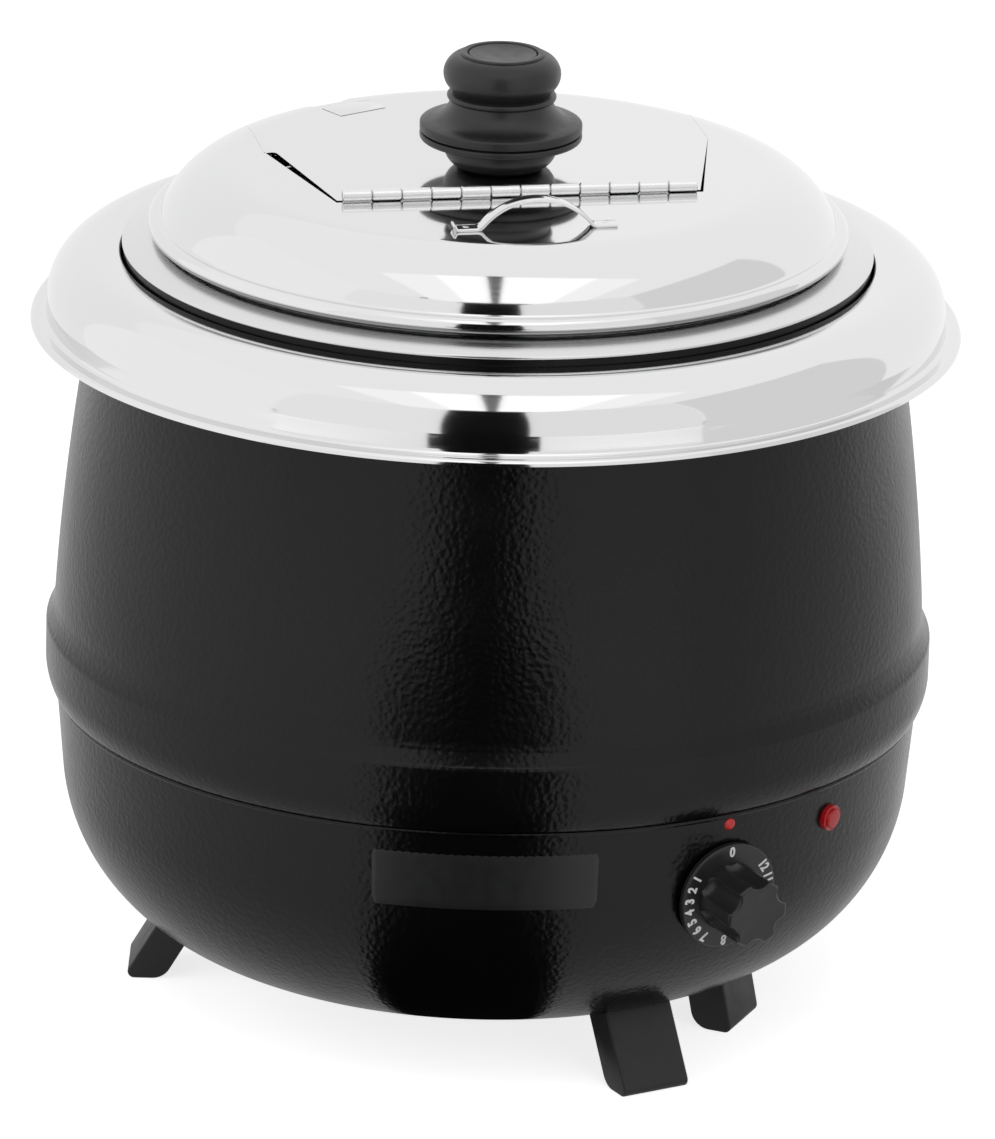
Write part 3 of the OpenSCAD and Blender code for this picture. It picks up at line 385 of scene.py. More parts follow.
printWhite = plainPaint("printWhite", (0.80, 0.80, 0.79), 0.45)
plateCharcoal = plainPaint("plateCharcoal", (0.010, 0.0103, 0.011), 0.42, 250)
slotOf = {part["node"]: part["material_slot"] for part in frame["record"]["subparts"]}
for nodeName, nodeObject in frame["nodes"].items():
    nodeObject.data.materials.clear()
    nodeObject.data.materials.append(finish[slotOf[nodeName]])
print("materials made")


# body: lower bowl and upper shell

bowl = {
    "seamR": 160.9, "draft": 4, "corner": 70, "sheet": 1.2, "lap": 8,
    "beadR": 1.1, "beadOut": -0.2, "beadDrop": 1.3, "hatch": 70, "columns": 320,
    "cornerSteps": 40,
}
bowl["under"] = cadLow("lower_bowl").z
bowl["seam"] = cadLow("upper_shell").z
bowl["cornerZ"] = bowl["under"] + bowl["corner"]
bowl["cornerR"] = (bowl["seamR"] - (bowl["seam"] - bowl["cornerZ"]) * tan(radians(bowl["draft"]))
                   - bowl["corner"] / cos(radians(bowl["draft"])))


def bowlRadius(z):
    # outer radius of the bowl at a height
    split = bowl["cornerZ"] - bowl["corner"] * sin(radians(bowl["draft"]))
    if z >= split:
        return bowl["seamR"] - (bowl["seam"] - z) * tan(radians(bowl["draft"]))
    return bowl["cornerR"] + sqrt(bowl["corner"] ** 2 - (bowl["cornerZ"] - z) ** 2)


def bowlOutline():
    t = bowl["sheet"]
    centre = (bowl["cornerR"], bowl["cornerZ"])
    top = bowl["seam"] + bowl["lap"]
    outer = [(bowl["hatch"], bowl["under"])]
    outer += arc(centre, bowl["corner"], -90, -bowl["draft"], bowl["cornerSteps"])
    beadZ = bowl["seam"] - bowl["beadDrop"]
    beadCentre = (bowl["seamR"] + bowl["beadOut"], beadZ)
    outer += arc(beadCentre, bowl["beadR"], -62, 75, 12)
    outer += [(bowlRadius(bowl["seam"] + 0.4), bowl["seam"] + 0.4), (bowlRadius(top), top)]
    inner = [(bowlRadius(top) - t, top)]
    inner += arc(centre, bowl["corner"] - t, -bowl["draft"], -90, bowl["cornerSteps"])
    inner += [(bowl["hatch"], bowl["under"] + t)]
    return outer + inner


lowerBowl = addPiece("lowerBowl", spin(bowlOutline(), bowl["columns"]), "kettle", "hammer_black")
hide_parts("lower_bowl")

shell = {
    "wallR": 162.3, "barrel": 1000, "lean": 3.4, "sheet": 1.2, "hem": 35, "hemOut": 3.2, "band": 25,
    "round": 11, "tuck": 3, "mouth": 138.8, "topRound": 3, "soft": 2.5, "edge": 0.6, "columns": 320,
}
shell["top"] = cadHigh("upper_shell").z


def shellOutline():
    seam, t = bowl["seam"], shell["sheet"]
    hemTop = seam + shell["hem"]
    hemR = shell["wallR"] + shell["hemOut"]
    tuckR = (shell["round"] ** 2 + shell["tuck"] ** 2) / (2 * shell["tuck"])
    tuckEnd = -degrees(asin(shell["round"] / tuckR))
    flare = shell["hem"] - shell["band"]
    flareR = (flare ** 2 + shell["hemOut"] ** 2) / (2 * shell["hemOut"])
    flareEnd = degrees(asin(flare / flareR))
    barrelCentre = (shell["wallR"] - shell["barrel"] * cos(radians(shell["lean"])),
                    hemTop - shell["barrel"] * sin(radians(shell["lean"])))
    barrelEnd = degrees(asin((shell["top"] - shell["topRound"] - barrelCentre[1]) / shell["barrel"]))
    lip = arc((hemR - shell["tuck"] - shell["edge"], seam + shell["edge"]), shell["edge"], -150, -20, 6)
    outer = lip
    outer += arc((hemR - tuckR, seam + shell["round"]), tuckR, tuckEnd + 2, 0, 16)
    # the band's upper edge is eased into the flare by a short arc
    bandTop = seam + shell["band"]
    outer += arc((hemR - shell["soft"], bandTop - 0.8), shell["soft"], 0, 90 - flareEnd, 6)[:-1]
    outer += arc((shell["wallR"] + flareR, hemTop), flareR, 180 + flareEnd * 0.82, 180, 14)
    outer += arc(barrelCentre, shell["barrel"], shell["lean"] + 0.3, barrelEnd, 40)
    wallTop = outer[-1][0]
    outer += arc((wallTop - shell["topRound"], shell["top"] - shell["topRound"]), shell["topRound"], 8, 90, 8)
    outer += [(shell["mouth"], shell["top"])]
    inner = [(shell["mouth"], shell["top"] - t), (wallTop - shell["topRound"], shell["top"] - t)]
    inner += [(r - t, z) for r, z in reversed(arc(barrelCentre, shell["barrel"], shell["lean"] + 0.3,
                                                  barrelEnd, 12))]
    inner += [(hemR - t, bandTop - 1), (hemR - t, seam + shell["round"]),
              (hemR - shell["tuck"] - t, seam + 0.4)]
    return outer + inner


upperShell = addPiece("upperShell", spin(shellOutline(), shell["columns"]), "kettle", "hammer_black")
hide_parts("upper_shell")
print("body made")


# collar ring, water well and inset pot

collar = {"sheet": 1.2, "shoulder": 18, "lip": 6.0, "drop": 2.0, "fillet": 1.8, "bore": 139.4,
          "seatGap": 1.2, "columns": 384}
collar["outer"] = cadHigh("collar_ring").x
collar["base"] = cadLow("collar_ring").z
collar["top"] = cadHigh("collar_ring").z
collar["seat"] = cadHigh("upper_shell").z + collar["seatGap"]


def collarOutline():
    t = collar["sheet"]
    wall = collar["outer"] - collar["lip"]
    top, bore = collar["top"], collar["bore"]
    lipZ = collar["base"] + collar["drop"]
    shoulderC = (wall - collar["shoulder"], top - collar["shoulder"])
    outer = [(bore, collar["seat"])]
    outer += arc((bore + 0.9, top - 0.9), 0.9, 180, 90, 6)
    outer += arc(shoulderC, collar["shoulder"], 90, 0, 28)
    outer += arc((wall + collar["fillet"], lipZ + collar["fillet"]), collar["fillet"], 180, 270, 8)
    outer += arc((collar["outer"] - collar["drop"], collar["base"]), collar["drop"], 90, 0, 10)
    inner = arc((collar["outer"] - collar["drop"], collar["base"]), collar["drop"] - t, 0, 90, 6)
    inner += [(wall + 0.6, lipZ - t), (wall - t, lipZ + 1)]
    inner += arc(shoulderC, collar["shoulder"] - t, 0, 90, 16)
    inner += [(bore + t + 0.5, top - t), (bore + t, top - t - 0.5), (bore + t, collar["seat"])]
    return outer + inner


collarRing = addPiece("collarRing", spin(collarOutline(), collar["columns"]), "collar", "polished_steel",
                      sharp=40)
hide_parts("collar_ring")

well = {"neck": 138.5, "wall": 129.2, "sheet": 1.2, "corner": 21.2, "flange": 146.5, "step": 8, "rod": 4.05,
        "columns": 256}
well["base"] = cadLow("water_well").z
well["top"] = cadHigh("water_well").z


def wellOutline():
    t = well["sheet"]
    flangeZ = collar["seat"]
    stepZ = flangeZ - t - well["step"]
    base, wall, neck = well["base"], well["wall"], well["neck"]
    outer = [(well["rod"], base)]
    outer += arc((wall - well["corner"], base + well["corner"]), well["corner"], -90, 0, 12)
    outer += [(wall, stepZ), (neck, stepZ + 6), (neck, flangeZ - t), (well["flange"], flangeZ - t),
              (well["flange"], flangeZ), (neck, flangeZ)]
    outer += arc((neck - t / 2, well["top"] - t / 2), t / 2, 0, 180, 8)
    inner = [(neck - t, stepZ + t + 6), (wall - t, stepZ + t)]
    inner += arc((wall - well["corner"], base + well["corner"]), well["corner"] - t, 0, -90, 12)
    inner += [(well["rod"], base + t)]
    return outer + inner


waterWell = addPiece("waterWell", spin(wellOutline(), well["columns"]), "kettle", "well_black")
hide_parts("water_well")

pot = {"wall": 119.5, "sheet": 1.0, "rim": 1.2, "corner": 19, "throat": 1.6, "edgeR": 0.8, "crest": 3.2,
       "crestIn": 12.8, "crestRise": 2.0, "columns": 320}
pot["base"] = cadLow("inset_pot").z
pot["top"] = cadHigh("inset_pot").z
pot["outer"] = cadHigh("inset_pot").x


def potOutline():
    t, edge = pot["sheet"], pot["edgeR"]
    cornerC = (pot["wall"] - pot["corner"], pot["base"] + pot["corner"])
    outer = [(0, pot["base"])]
    outer += arc(cornerC, pot["corner"], -90, 0, 14)
    outer += [(pot["wall"], pot["top"] - pot["rim"] - 1)]
    # the rim rolls over at its edge and rises as a low cone to a crest under the lid's bead
    outer += arc((pot["outer"] - edge, pot["top"] - pot["rim"] - edge), edge, -90, 74, 8)
    crestC = (pot["outer"] - pot["crestIn"], pot["top"] + pot["crestRise"] - pot["crest"])
    outer += arc(crestC, pot["crest"], 74, 150, 10)
    outer += arc((pot["wall"] - t + pot["throat"], pot["top"] - pot["throat"]), pot["throat"], 90, 180, 6)
    outer += arc(cornerC, pot["corner"] - t, 0, -90, 14)
    outer += [(0, pot["base"] + t)]
    return outer


insetPot = addPiece("insetPot", spin(potOutline(), pot["columns"], closed=False), "pot", "brushed_steel",
                    sharp=40)
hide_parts("inset_pot")
print("collar, well and pot made")


# lid: two leaves of one drawn disc, parted by slits

lid = {
    "turn": 11.1, "sheet": 0.9, "shoulder": 30, "flatR": 96.9, "bead": 3.0, "beadGap": 2.9, "foot": 120.4,
    "crease": 1.5, "web": 1.0,
    "near": 67.5, "far": 84, "farY": 27, "sideRun": 20, "cornerSoft": 5, "leftSoft": 3,
    "slit": 0.6, "sideSlit": 0.05, "wedge": 4.4, "wedgeSoft": 1.8, "wedgeEnd": 0.8,
    "hingeY": -39.7, "slot": 2.4, "inset": 9.4,
    "notchW": 21, "notchIn": 101, "notchAt": 117, "sill": 7, "sillColumns": 12,
    "padFrom": 84, "padTo": 96, "padHigh": 0.35, "padSink": 0.1, "padSoft": 0.25,
    "spigotR": 117.5, "spigotDeep": 8, "spigotLeft": 3, "spigotRight": 2, "spigotColumns": 160,
    "beadEnd": -140, "frontColumns": 200, "flapColumns": 60,
}
lid["top"] = cadHigh("lid_front").z
lid["seat"] = pot["top"]
lid["outer"] = pot["outer"] - lid["inset"]
lidPlace = Matrix.Rotation(radians(lid["turn"]), 4, "Z")


def fillet(centreA, radiusA, centreB, radiusB, radius):
    # the circle outside two circles that touches both, and the angle at which each of them sees it
    a, b = Vector(centreA), Vector(centreB)
    reachA, reachB, apart = radiusA + radius, radiusB + radius, (b - a).length
    along = (reachA ** 2 - reachB ** 2 + apart ** 2) / (2 * apart)
    u = (b - a).normalized()
    centre = a + u * along + Vector((-u.y, u.x)) * sqrt(reachA ** 2 - along ** 2)
    toA, toB = centre - a, centre - b
    return tuple(centre), degrees(atan2(toA.y, toA.x)), degrees(atan2(toB.y, toB.x))


def lidOutline():
    # from the edge of the flat top down over the shoulder, round the bead and in to the foot
    beadC = (lid["outer"] - lid["bead"], lid["seat"] + lid["beadGap"] + lid["bead"])
    shoulderC = (lid["flatR"], lid["top"] - lid["shoulder"])
    creaseC, atShoulder, atBead = fillet(shoulderC, lid["shoulder"], beadC, lid["bead"], lid["crease"])
    out = arc(shoulderC, lid["shoulder"], 90, atShoulder, 30)
    out += arc(creaseC, lid["crease"], 180 + atShoulder, 180 + atBead, 8)[1:]
    out += arc(beadC, lid["bead"], atBead, lid["beadEnd"], 26)[1:]
    out += [(lid["foot"] + 2, beadC[1] - lid["web"]), (lid["foot"], beadC[1] - lid["web"] - 0.3),
            (lid["foot"], lid["seat"])]
    return out


def roundCorner(before, corner, after, radius, steps=6):
    # replaces a corner of a plan by an arc that touches both sides
    b, c, a = Vector(before), Vector(corner), Vector(after)
    u, v = (b - c).normalized(), (a - c).normalized()
    half = acos(max(-1, min(1, u.dot(v)))) / 2
    centre = c + (u + v).normalized() * radius / sin(half)
    first, last = c + u * radius / tan(half), c + v * radius / tan(half)
    out = []
    for i in range(steps + 1):
        p = first.lerp(last, i / steps)
        out.append(tuple(centre + (p - centre).normalized() * radius))
    return out


def rimAngle(x, r):
    # angle at which the upright line at x meets the circle of radius r
    return degrees(acos(max(-1, min(1, x / r))))


def flatPart(ring, plan, z):
    # the flat top: the shoulder's first ring closed by a plan
    points = ring + [(x, y, z) for x, y in plan]
    return points, [list(range(len(points)))]


def lidFront():
    gap = lid["slit"]
    rightX, leftX = lid["far"] + lid["sideSlit"], -lid["far"] - lid["sideSlit"]
    near, hinge = lid["near"] + gap, lid["hingeY"] - lid["slot"] / 2
    sheet = sector(lidOutline(), lambda r: rimAngle(leftX, r), lambda r: 360 + rimAngle(rightX, r),
                   lid["frontColumns"])
    ring = sheet[0][:lid["frontColumns"] + 1]
    farY, beyond = lid["farY"], lid["farY"] + lid["sideRun"]
    rightSide = roundCorner((rightX, beyond), (rightX, farY), (near, lid["hingeY"]), lid["cornerSoft"] + gap)
    leftSide = roundCorner((-near, lid["hingeY"]), (leftX, farY), (leftX, beyond), lid["leftSoft"])
    plan = rightSide + [(near, hinge), (-near, hinge)] + leftSide
    return joinParts([sheet, flatPart(ring, plan, lid["top"])])


def lidFlap():
    slit, mid, columns = lid["far"], lid["notchAt"], lid["flapColumns"]

    def notchHalf(r):
        return degrees(asin(lid["notchW"] / 2 / r)) if r > lid["notchIn"] else 0

    right = sector(lidOutline(), lambda r: rimAngle(slit, r), lambda r: mid - notchHalf(r), columns)
    left = sector(lidOutline(), lambda r: mid + notchHalf(r), lambda r: rimAngle(-slit, r), columns // 2)
    ring = right[0][:columns + 1] + left[0][1:columns // 2 + 1]
    hinge = lid["hingeY"] + lid["slot"] / 2
    farY, beyond = lid["farY"], lid["farY"] + lid["sideRun"]
    # the left slit opens to a wedge that ends short of the corner
    run = (Vector((-slit, farY)) - Vector((-lid["near"], hinge))).normalized()
    turnA = Vector((-slit, farY - lid["cornerSoft"] / 2))
    turnB = turnA + Vector((run.y, -run.x)) * lid["wedge"]
    leftSide = roundCorner((-slit, beyond), turnA, turnB, lid["wedgeEnd"])
    leftSide += roundCorner(turnA, turnB, (-lid["near"], hinge), lid["wedgeSoft"])
    rightSide = roundCorner((lid["near"], hinge), (slit, farY), (slit, beyond), lid["cornerSoft"])
    plan = leftSide + [(-lid["near"], hinge), (lid["near"], hinge)] + rightSide
    # the foot runs on below the notch as a low sill
    sill = sector([(lid["foot"], lid["seat"]), (lid["foot"], lid["seat"] + lid["sill"])],
                  lambda r: mid - notchHalf(r), lambda r: mid + notchHalf(r), lid["sillColumns"])
    return joinParts([right, left, sill, flatPart(ring, plan, lid["top"])])


# the lid's steel is darker on its underside: painted shade
lidSteel = polishedSteel("lidSteel", paintedShadeUnder=True)
frontLeaf = addPiece("lidFrontLeaf", lidFront(), "lid", "polished_steel", lidSteel,
                     place=lidPlace, thickness=lid["sheet"])
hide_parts("lid_front")
rearLeaf = addPiece("lidRearLeaf", lidFlap(), "flap", "polished_steel", lidSteel,
                    place=lidPlace, thickness=lid["sheet"])
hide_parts("lid_flap")
# a shallow pad on the flat, in from the notch
padHalf = lid["notchW"] / 2
pad = box(lid["padFrom"], lid["padTo"], -padHalf, padHalf,
          lid["top"] - lid["padSink"], lid["top"] + lid["padHigh"])
addPiece("notchPad", pad, "flap", "polished_steel", lidSteel, bevel=lid["padSoft"],
         place=lidPlace @ Matrix.Rotation(radians(lid["notchAt"]), 4, "Z"))


def spigotOutline():
    # a short wall that drops into the pot, turned out at its top to meet the foot
    r, z, t = lid["spigotR"], lid["seat"], 1.0
    low, out = z - lid["spigotDeep"], lid["foot"] - 0.5
    return [(r - t, low), (r, low), (r, z + 0.1), (out, z + 0.1), (out, z + 1),
            (r - t + 0.5, z + 1), (r - t, z + 0.5)]


spigot = sector(spigotOutline(), lambda r: rimAngle(-lid["far"] - lid["spigotLeft"], r),
                lambda r: 360 + rimAngle(lid["far"] + lid["spigotRight"], r),
                lid["spigotColumns"], closed=True)
# the spigot's brushing is its own; its dark grey colour is painted shade of the gap under the lid's bead
spigotSteel = brushedSteel("spigotSteel", (0.3, 0.3, 0.305), 0.4)
addPiece("lidSpigot", spigot, "lid", "polished_steel", spigotSteel, place=lidPlace)
print("lid made")


# hinge

hinge = {"knuckleR": 2.2, "boreR": 1.15, "count": 12, "length": 132, "gap": 0.4, "edge": 0.3, "web": 1.0,
         "leaf": 0.8, "leafW": 13, "leafGap": 1.5, "foot": 3, "play": 0.05}
hinge["z"] = lid["top"] + hinge["knuckleR"]
hinge["leafZ"] = cadLow("hinge_leaf_front").z


def knuckleOutline():
    # a bored barrel with its edges broken; extra points by each edge keep the wall's shading even
    half = (hinge["length"] / hinge["count"] - hinge["gap"]) / 2
    r, e, b = hinge["knuckleR"], hinge["edge"], hinge["boreR"]
    return [(b, -half), (r - e, -half), (r, -half + e), (r, -half + 1.3 * e),
            (r, half - 1.3 * e), (r, half - e), (r - e, half), (b, half)]


def leafParts(first, side):
    pitch = hinge["length"] / hinge["count"]
    parts = []
    y = lid["hingeY"]
    for i in range(first, hinge["count"], 2):
        x = -hinge["length"] / 2 + (i + 0.5) * pitch
        lay = Matrix.Translation((x, y, hinge["z"])) @ Matrix.Rotation(pi / 2, 4, "Y")
        parts.append(moved(spin(knuckleOutline(), 40), lay))
        half = (pitch - hinge["gap"]) / 2
        inner, outer = y + side * hinge["play"], y + side * hinge["web"]
        parts.append(box(x - half, x + half, inner, outer, hinge["leafZ"], hinge["z"] - hinge["boreR"]))
        outer = y + side * hinge["foot"]
        parts.append(box(x - half, x + half, inner, outer, hinge["leafZ"], hinge["leafZ"] + hinge["leaf"]))
    near, far = y + side * hinge["leafGap"], y + side * (hinge["leafGap"] + hinge["leafW"])
    parts.append(box(-hinge["length"] / 2, hinge["length"] / 2, near, far,
                     hinge["leafZ"], hinge["leafZ"] + hinge["leaf"]))
    return joinParts(parts)


hingeSteel = rolledSteel()
for leafName, nodeName, bodyName, first, side in (("hingeLeafFront", "hinge_leaf_front", "lid", 0, -1),
                                                  ("hingeLeafRear", "hinge_leaf_rear", "flap", 1, 1)):
    leaf = addPiece(leafName, leafParts(first, side), bodyName, "polished_steel", hingeSteel,
                    place=lidPlace, sharp=50)
    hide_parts(nodeName)
print("hinge made")


# strap on the front leaf

strap = {"y": -79, "shift": -1.5, "width": 6.4, "thick": 1.1, "span": 43, "rise": 11.5, "foot": 8,
         "bend": 3.0, "tab": 2.2, "tabAngle": 62, "tabBend": 1.2, "tabIn": 0.6, "soft": 0.35,
         "weldAt": 0.55, "weldR": 1.2, "weldHigh": 0.3, "weldSink": 0.05}


def strapPath():
    # middle line of the strip in (x, z): tab, foot, arch, foot
    half, rise, t = strap["span"] / 2, strap["rise"], strap["thick"]
    archR = (half ** 2 + rise ** 2) / (2 * rise)
    archC = (0, rise - archR - t / 2)
    mid, bend = t / 2, strap["bend"]
    # each bend's circle touches the foot from above and the arch from outside
    bendX = sqrt((archR + bend) ** 2 - (mid + bend - archC[1]) ** 2)
    swing = degrees(atan2(bendX, mid + bend - archC[1]))
    path = []
    end = -half - strap["foot"]
    a = radians(strap["tabAngle"])
    path.append((end - strap["tab"] * cos(a), mid + strap["tab"] * sin(a)))
    tabBend = strap["tabBend"]
    path += [(end + tabBend * sin(radians(b)) + strap["tabIn"], mid + tabBend * (1 - cos(radians(b))))
             for b in (-strap["tabAngle"], -40, -20, 0)]
    path += arc((-bendX, mid + bend), bend, -90, -90 + swing, 8)
    path += arc(archC, archR, 90 + swing, 90 - swing, 36)[1:-1]
    path += arc((bendX, mid + bend), bend, 270 - swing, 270, 8)
    path.append((half + strap["foot"], mid))
    return path


def ribbon(path, width, thick):
    # a strip of constant section along a path in (x, z)
    verts, faces = [], []
    count = len(path)
    for k, (x, z) in enumerate(path):
        before, after = Vector(path[max(k - 1, 0)]), Vector(path[min(k + 1, count - 1)])
        d = (after - before).normalized()
        nx, nz = -d.y * thick / 2, d.x * thick / 2
        for s, w in ((-1, 1), (1, 1), (1, -1), (-1, -1)):
            verts.append((x + s * nx, w * width / 2, z + s * nz))
    for k in range(count - 1):
        for i in range(4):
            j = (i + 1) % 4
            faces.append((k * 4 + i, k * 4 + j, (k + 1) * 4 + j, (k + 1) * 4 + i))
    faces.append((0, 1, 2, 3))
    last = (count - 1) * 4
    faces.append((last + 3, last + 2, last + 1, last))
    return verts, faces


def dome(radius, height, steps=6, segments=32):
    turns = [radians(90 * i / steps) for i in range(steps)]
    outline = [(radius * cos(a), height * sin(a)) for a in turns]
    return spin([(0, 0)] + outline + [(0, height)], segments, closed=False)


strapLay = Matrix.Translation((strap["shift"], strap["y"], lid["top"]))
strapPart = moved(ribbon(strapPath(), strap["width"], strap["thick"]), strapLay)
lidStrap = addPiece("lidStrap", strapPart, "lid", "polished_steel", place=lidPlace, sharp=40,
                    bevel=strap["soft"])
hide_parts("lid_strap")
weldX = strap["span"] / 2 + strap["foot"] * strap["weldAt"]
welds = []
for sideX in (-weldX, weldX):
    lay = strapLay @ Matrix.Translation((sideX, 0, strap["thick"] - strap["weldSink"]))
    welds.append(moved(dome(strap["weldR"], strap["weldHigh"]), lay))
addPiece("strapWelds", joinParts(welds), "lid", "polished_steel", place=lidPlace)
print("strap made")


# knob on the rear leaf

knob = {
    "footR": 20.9, "footTurn": 7.8, "flangeR": 30, "low": 10.4, "mid": 13.5, "high": 17.3, "groove": 0.6,
    "neckR": 18.7, "neckZ": 25.6, "beadR": 1.3, "headR": 21.7, "round": 7.3, "headZ": 35.5, "ringR": 15.5,
    "capR": 12.7, "dish": 0.9, "boltR": 2.5, "columns": 160,
    "lowRound": 1.4, "rimRound": 0.7, "rimIn": 1.6, "seamIn": 1.8, "topRound": 0.9, "sweep": 9.4,
    "ringRound": 0.75, "capDeep": 1.4, "capSink": 0.45, "boltHole": 11,
}
knob["height"] = cadHigh("knob_grip").z - lid["top"]


def knobFootOutline():
    k = knob
    out = [(k["boltR"], 0)]
    # a bowl that widens up to the flange's underside
    out += arc((k["footR"] - k["footTurn"], k["footTurn"]), k["footTurn"], -90, 0, 16)
    out += [(k["footR"], k["low"])]
    low, rim, seam = k["lowRound"], k["rimRound"], k["groove"] / 2
    out += arc((k["flangeR"] - low, k["low"] + low), low, -90, 0, 6)
    out += arc((k["flangeR"] - rim, k["mid"] - rim - seam), rim, 0, 80, 5)
    out += [(k["flangeR"] - k["rimIn"], k["mid"] - seam), (k["flangeR"] - k["seamIn"], k["mid"]),
            (k["boltR"], k["mid"])]
    return out


def knobGripOutline():
    k = knob
    rim, seam, high = k["rimRound"], k["groove"] / 2, k["topRound"]
    out = [(k["boltR"], k["mid"]), (k["flangeR"] - k["seamIn"], k["mid"]),
           (k["flangeR"] - k["rimIn"], k["mid"] + seam)]
    out += arc((k["flangeR"] - rim, k["mid"] + seam + rim), rim, -80, 0, 5)
    out += arc((k["flangeR"] - high, k["high"] - high), high, 0, 70, 6)
    # hollow sweep from the flange to the neck
    sweepC = (k["neckR"] + k["sweep"], k["high"] + k["sweep"] + 0.6)
    out += arc(sweepC, k["sweep"], 262, 184, 18)
    out += arc((k["neckR"] + 0.2, k["neckZ"] + 1.3), k["beadR"], -60, 70, 8)
    out += [(k["neckR"] - 0.6, k["neckZ"] + 3.0)]
    headC = (k["headR"] - k["round"], k["headZ"])
    out += arc(headC, k["round"], -52, 78, 30)
    top = k["height"]
    ring = k["ringRound"]
    out += arc((k["ringR"] - ring, top - ring), ring, -10, 90, 8)
    out += arc((k["capR"] + 0.8, top - 0.5), 0.5, 90, 170, 5)
    out += [(k["capR"], top - k["capDeep"]), (k["boltR"], top - k["capDeep"]),
            (k["boltR"], k["mid"] + k["boltHole"])]
    return out


def knobCapOutline():
    k = knob
    top = k["height"] - k["capSink"]
    out = [(0, top - 0.95), (k["capR"] - 0.05, top - 0.95)]
    out += arc((k["capR"] - 0.5, top - 0.4), 0.4, 0, 90, 5)
    out += [(k["capR"] * s, top - k["dish"] * (1 - s * s)) for s in (0.9, 0.75, 0.6, 0.45, 0.3, 0.15)]
    out += [(0, top - k["dish"])]
    return out


knobLay = lidPlace @ Matrix.Translation((0, 0, lid["top"] * mm))
for pieceName, nodeName, outline, closed in (("knobFoot", "knob_foot", knobFootOutline(), True),
                                             ("knobGrip", "knob_grip", knobGripOutline(), True),
                                             ("knobCap", "knob_cap", knobCapOutline(), False)):
    piece = addPiece(pieceName, spin(outline, knob["columns"], closed), "flap", "phenolic_black",
                     place=knobLay, sharp=38)
    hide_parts(nodeName)
print("knob made")


# control dial, index dot and lamp on the bowl

def onBowl(bearing, z, lift=0.0):
    # a place on the bowl's wall, its own Z pointing out of the wall
    tilt = 90 + bowl["draft"]
    r = bowl["seamR"] - (bowl["seam"] - z) * tan(radians(bowl["draft"]))
    return (Matrix.Rotation(radians(bearing), 4, "Z") @ Matrix.Translation((0, -r * mm, z * mm))
            @ Matrix.Rotation(radians(tilt), 4, "X") @ Matrix.Translation((0, 0, lift * mm)))


dial = {
    "bearing": 33.8, "z": 86, "gap": 0.8, "radius": 20.2, "skirt": 2.6, "edge": 0.7,
    "grip": 12.6, "gripHigh": 19.0, "lobes": 6, "flute": 5.2, "fluteAt": 15.3, "ease": 0.8, "top": 1.3,
    "ball": 0.72, "swell": 0.35, "foot": 1.5,
    "hollow": 10, "columns": 288,
    "numberR": 17.2, "numberSize": 5.2, "numberSink": 0.05, "numberBold": 0.2, "numberThick": 0.1,
    "numberNarrow": 0.86,
}


def gripPart():
    # a lobed post: each row is a circle with round flutes cut out of it
    rows = []
    z0, z1 = dial["skirt"], dial["skirt"] + dial["gripHigh"]
    ball = z0 + dial["flute"] * dial["ball"]
    foot = dial["foot"]
    for i in range(15):
        z = z0 + (ball - z0 + foot) * i / 14
        rows.append((z, dial["grip"] + dial["swell"] * (1 - i / 14), max(ball - z, 0)))
    for i in range(1, 7):
        rows.append((ball + foot + (z1 - dial["top"] - ball - foot) * i / 6, dial["grip"], 0))
    for i in range(1, 9):
        a = radians(90 * i / 8)
        rows.append((z1 - dial["top"] + dial["top"] * sin(a), dial["grip"] - dial["top"] * (1 - cos(a)), 0))
    verts, faces = [], []
    n = dial["columns"]
    step = 360 / dial["lobes"]
    for z, reach, dip in rows:
        flute2 = dial["flute"] ** 2 - dip ** 2
        inset = dial["grip"] - reach
        for i in range(n):
            a = 360 * i / n
            off = radians((a % step) - step / 2)
            side = dial["fluteAt"] * sin(off)
            cut = reach
            if flute2 > side * side:
                flute = dial["fluteAt"] * cos(off) - sqrt(flute2 - side * side) - inset
                # eases the sharp corner between flute and lobe
                ease = dial["ease"]
                blend = max(ease - abs(flute - reach), 0) / ease
                cut = min(flute, reach) - blend * blend * ease / 4
            verts.append((cut * cos(radians(a)), cut * sin(radians(a)), z))
    for k in range(len(rows) - 1):
        for i in range(n):
            j = (i + 1) % n
            faces.append((k * n + i, k * n + j, (k + 1) * n + j, (k + 1) * n + i))
    # slightly sunken face
    last = (len(rows) - 1) * n
    for s, drop in ((0.9, 0.12), (0.6, 0.3), (0.3, 0.38)):
        ring = [(verts[last + i][0] * s, verts[last + i][1] * s, z1 - drop) for i in range(n)]
        start = len(verts)
        verts += ring
        for i in range(n):
            j = (i + 1) % n
            faces.append((last + i, last + j, start + j, start + i))
        last = start
    centre = len(verts)
    verts.append((0, 0, z1 - 0.4))
    faces += [(last + i, last + (i + 1) % n, centre) for i in range(n)]
    return verts, faces


def dialSkirtOutline():
    r, e, h = dial["radius"], dial["edge"], dial["skirt"]
    out = [(dial["hollow"], 0)]
    out += arc((r - 0.5, 0.5), 0.5, -90, 0, 4)
    out += arc((r - e, h - e), e, 0, 90, 6)
    out += [(r - 2.2, h), (3, h - 0.1), (3, 2.2), (dial["hollow"], 2.2)]
    return out


dialPlace = onBowl(dial["bearing"], dial["z"], dial["gap"])
dialBody = addPiece("controlDial", joinParts([spin(dialSkirtOutline(), 160), gripPart()]), "dial",
                    "phenolic_black", place=dialPlace, sharp=40)
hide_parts("control_dial")

# turns of the numbers from 0: the first, the step up to the last crowded one, and the rest
scale = {"first": 57.4, "step": 14.7, "crowded": 7,
         "rest": {8: 176.6, 9: 212.4, 10: 248.2, 11: 284.0, 12: 303.5}}
marks = {0: 0.0}
for number in range(1, scale["crowded"] + 1):
    marks[number] = scale["first"] + scale["step"] * (number - 1)
marks.update(scale["rest"])


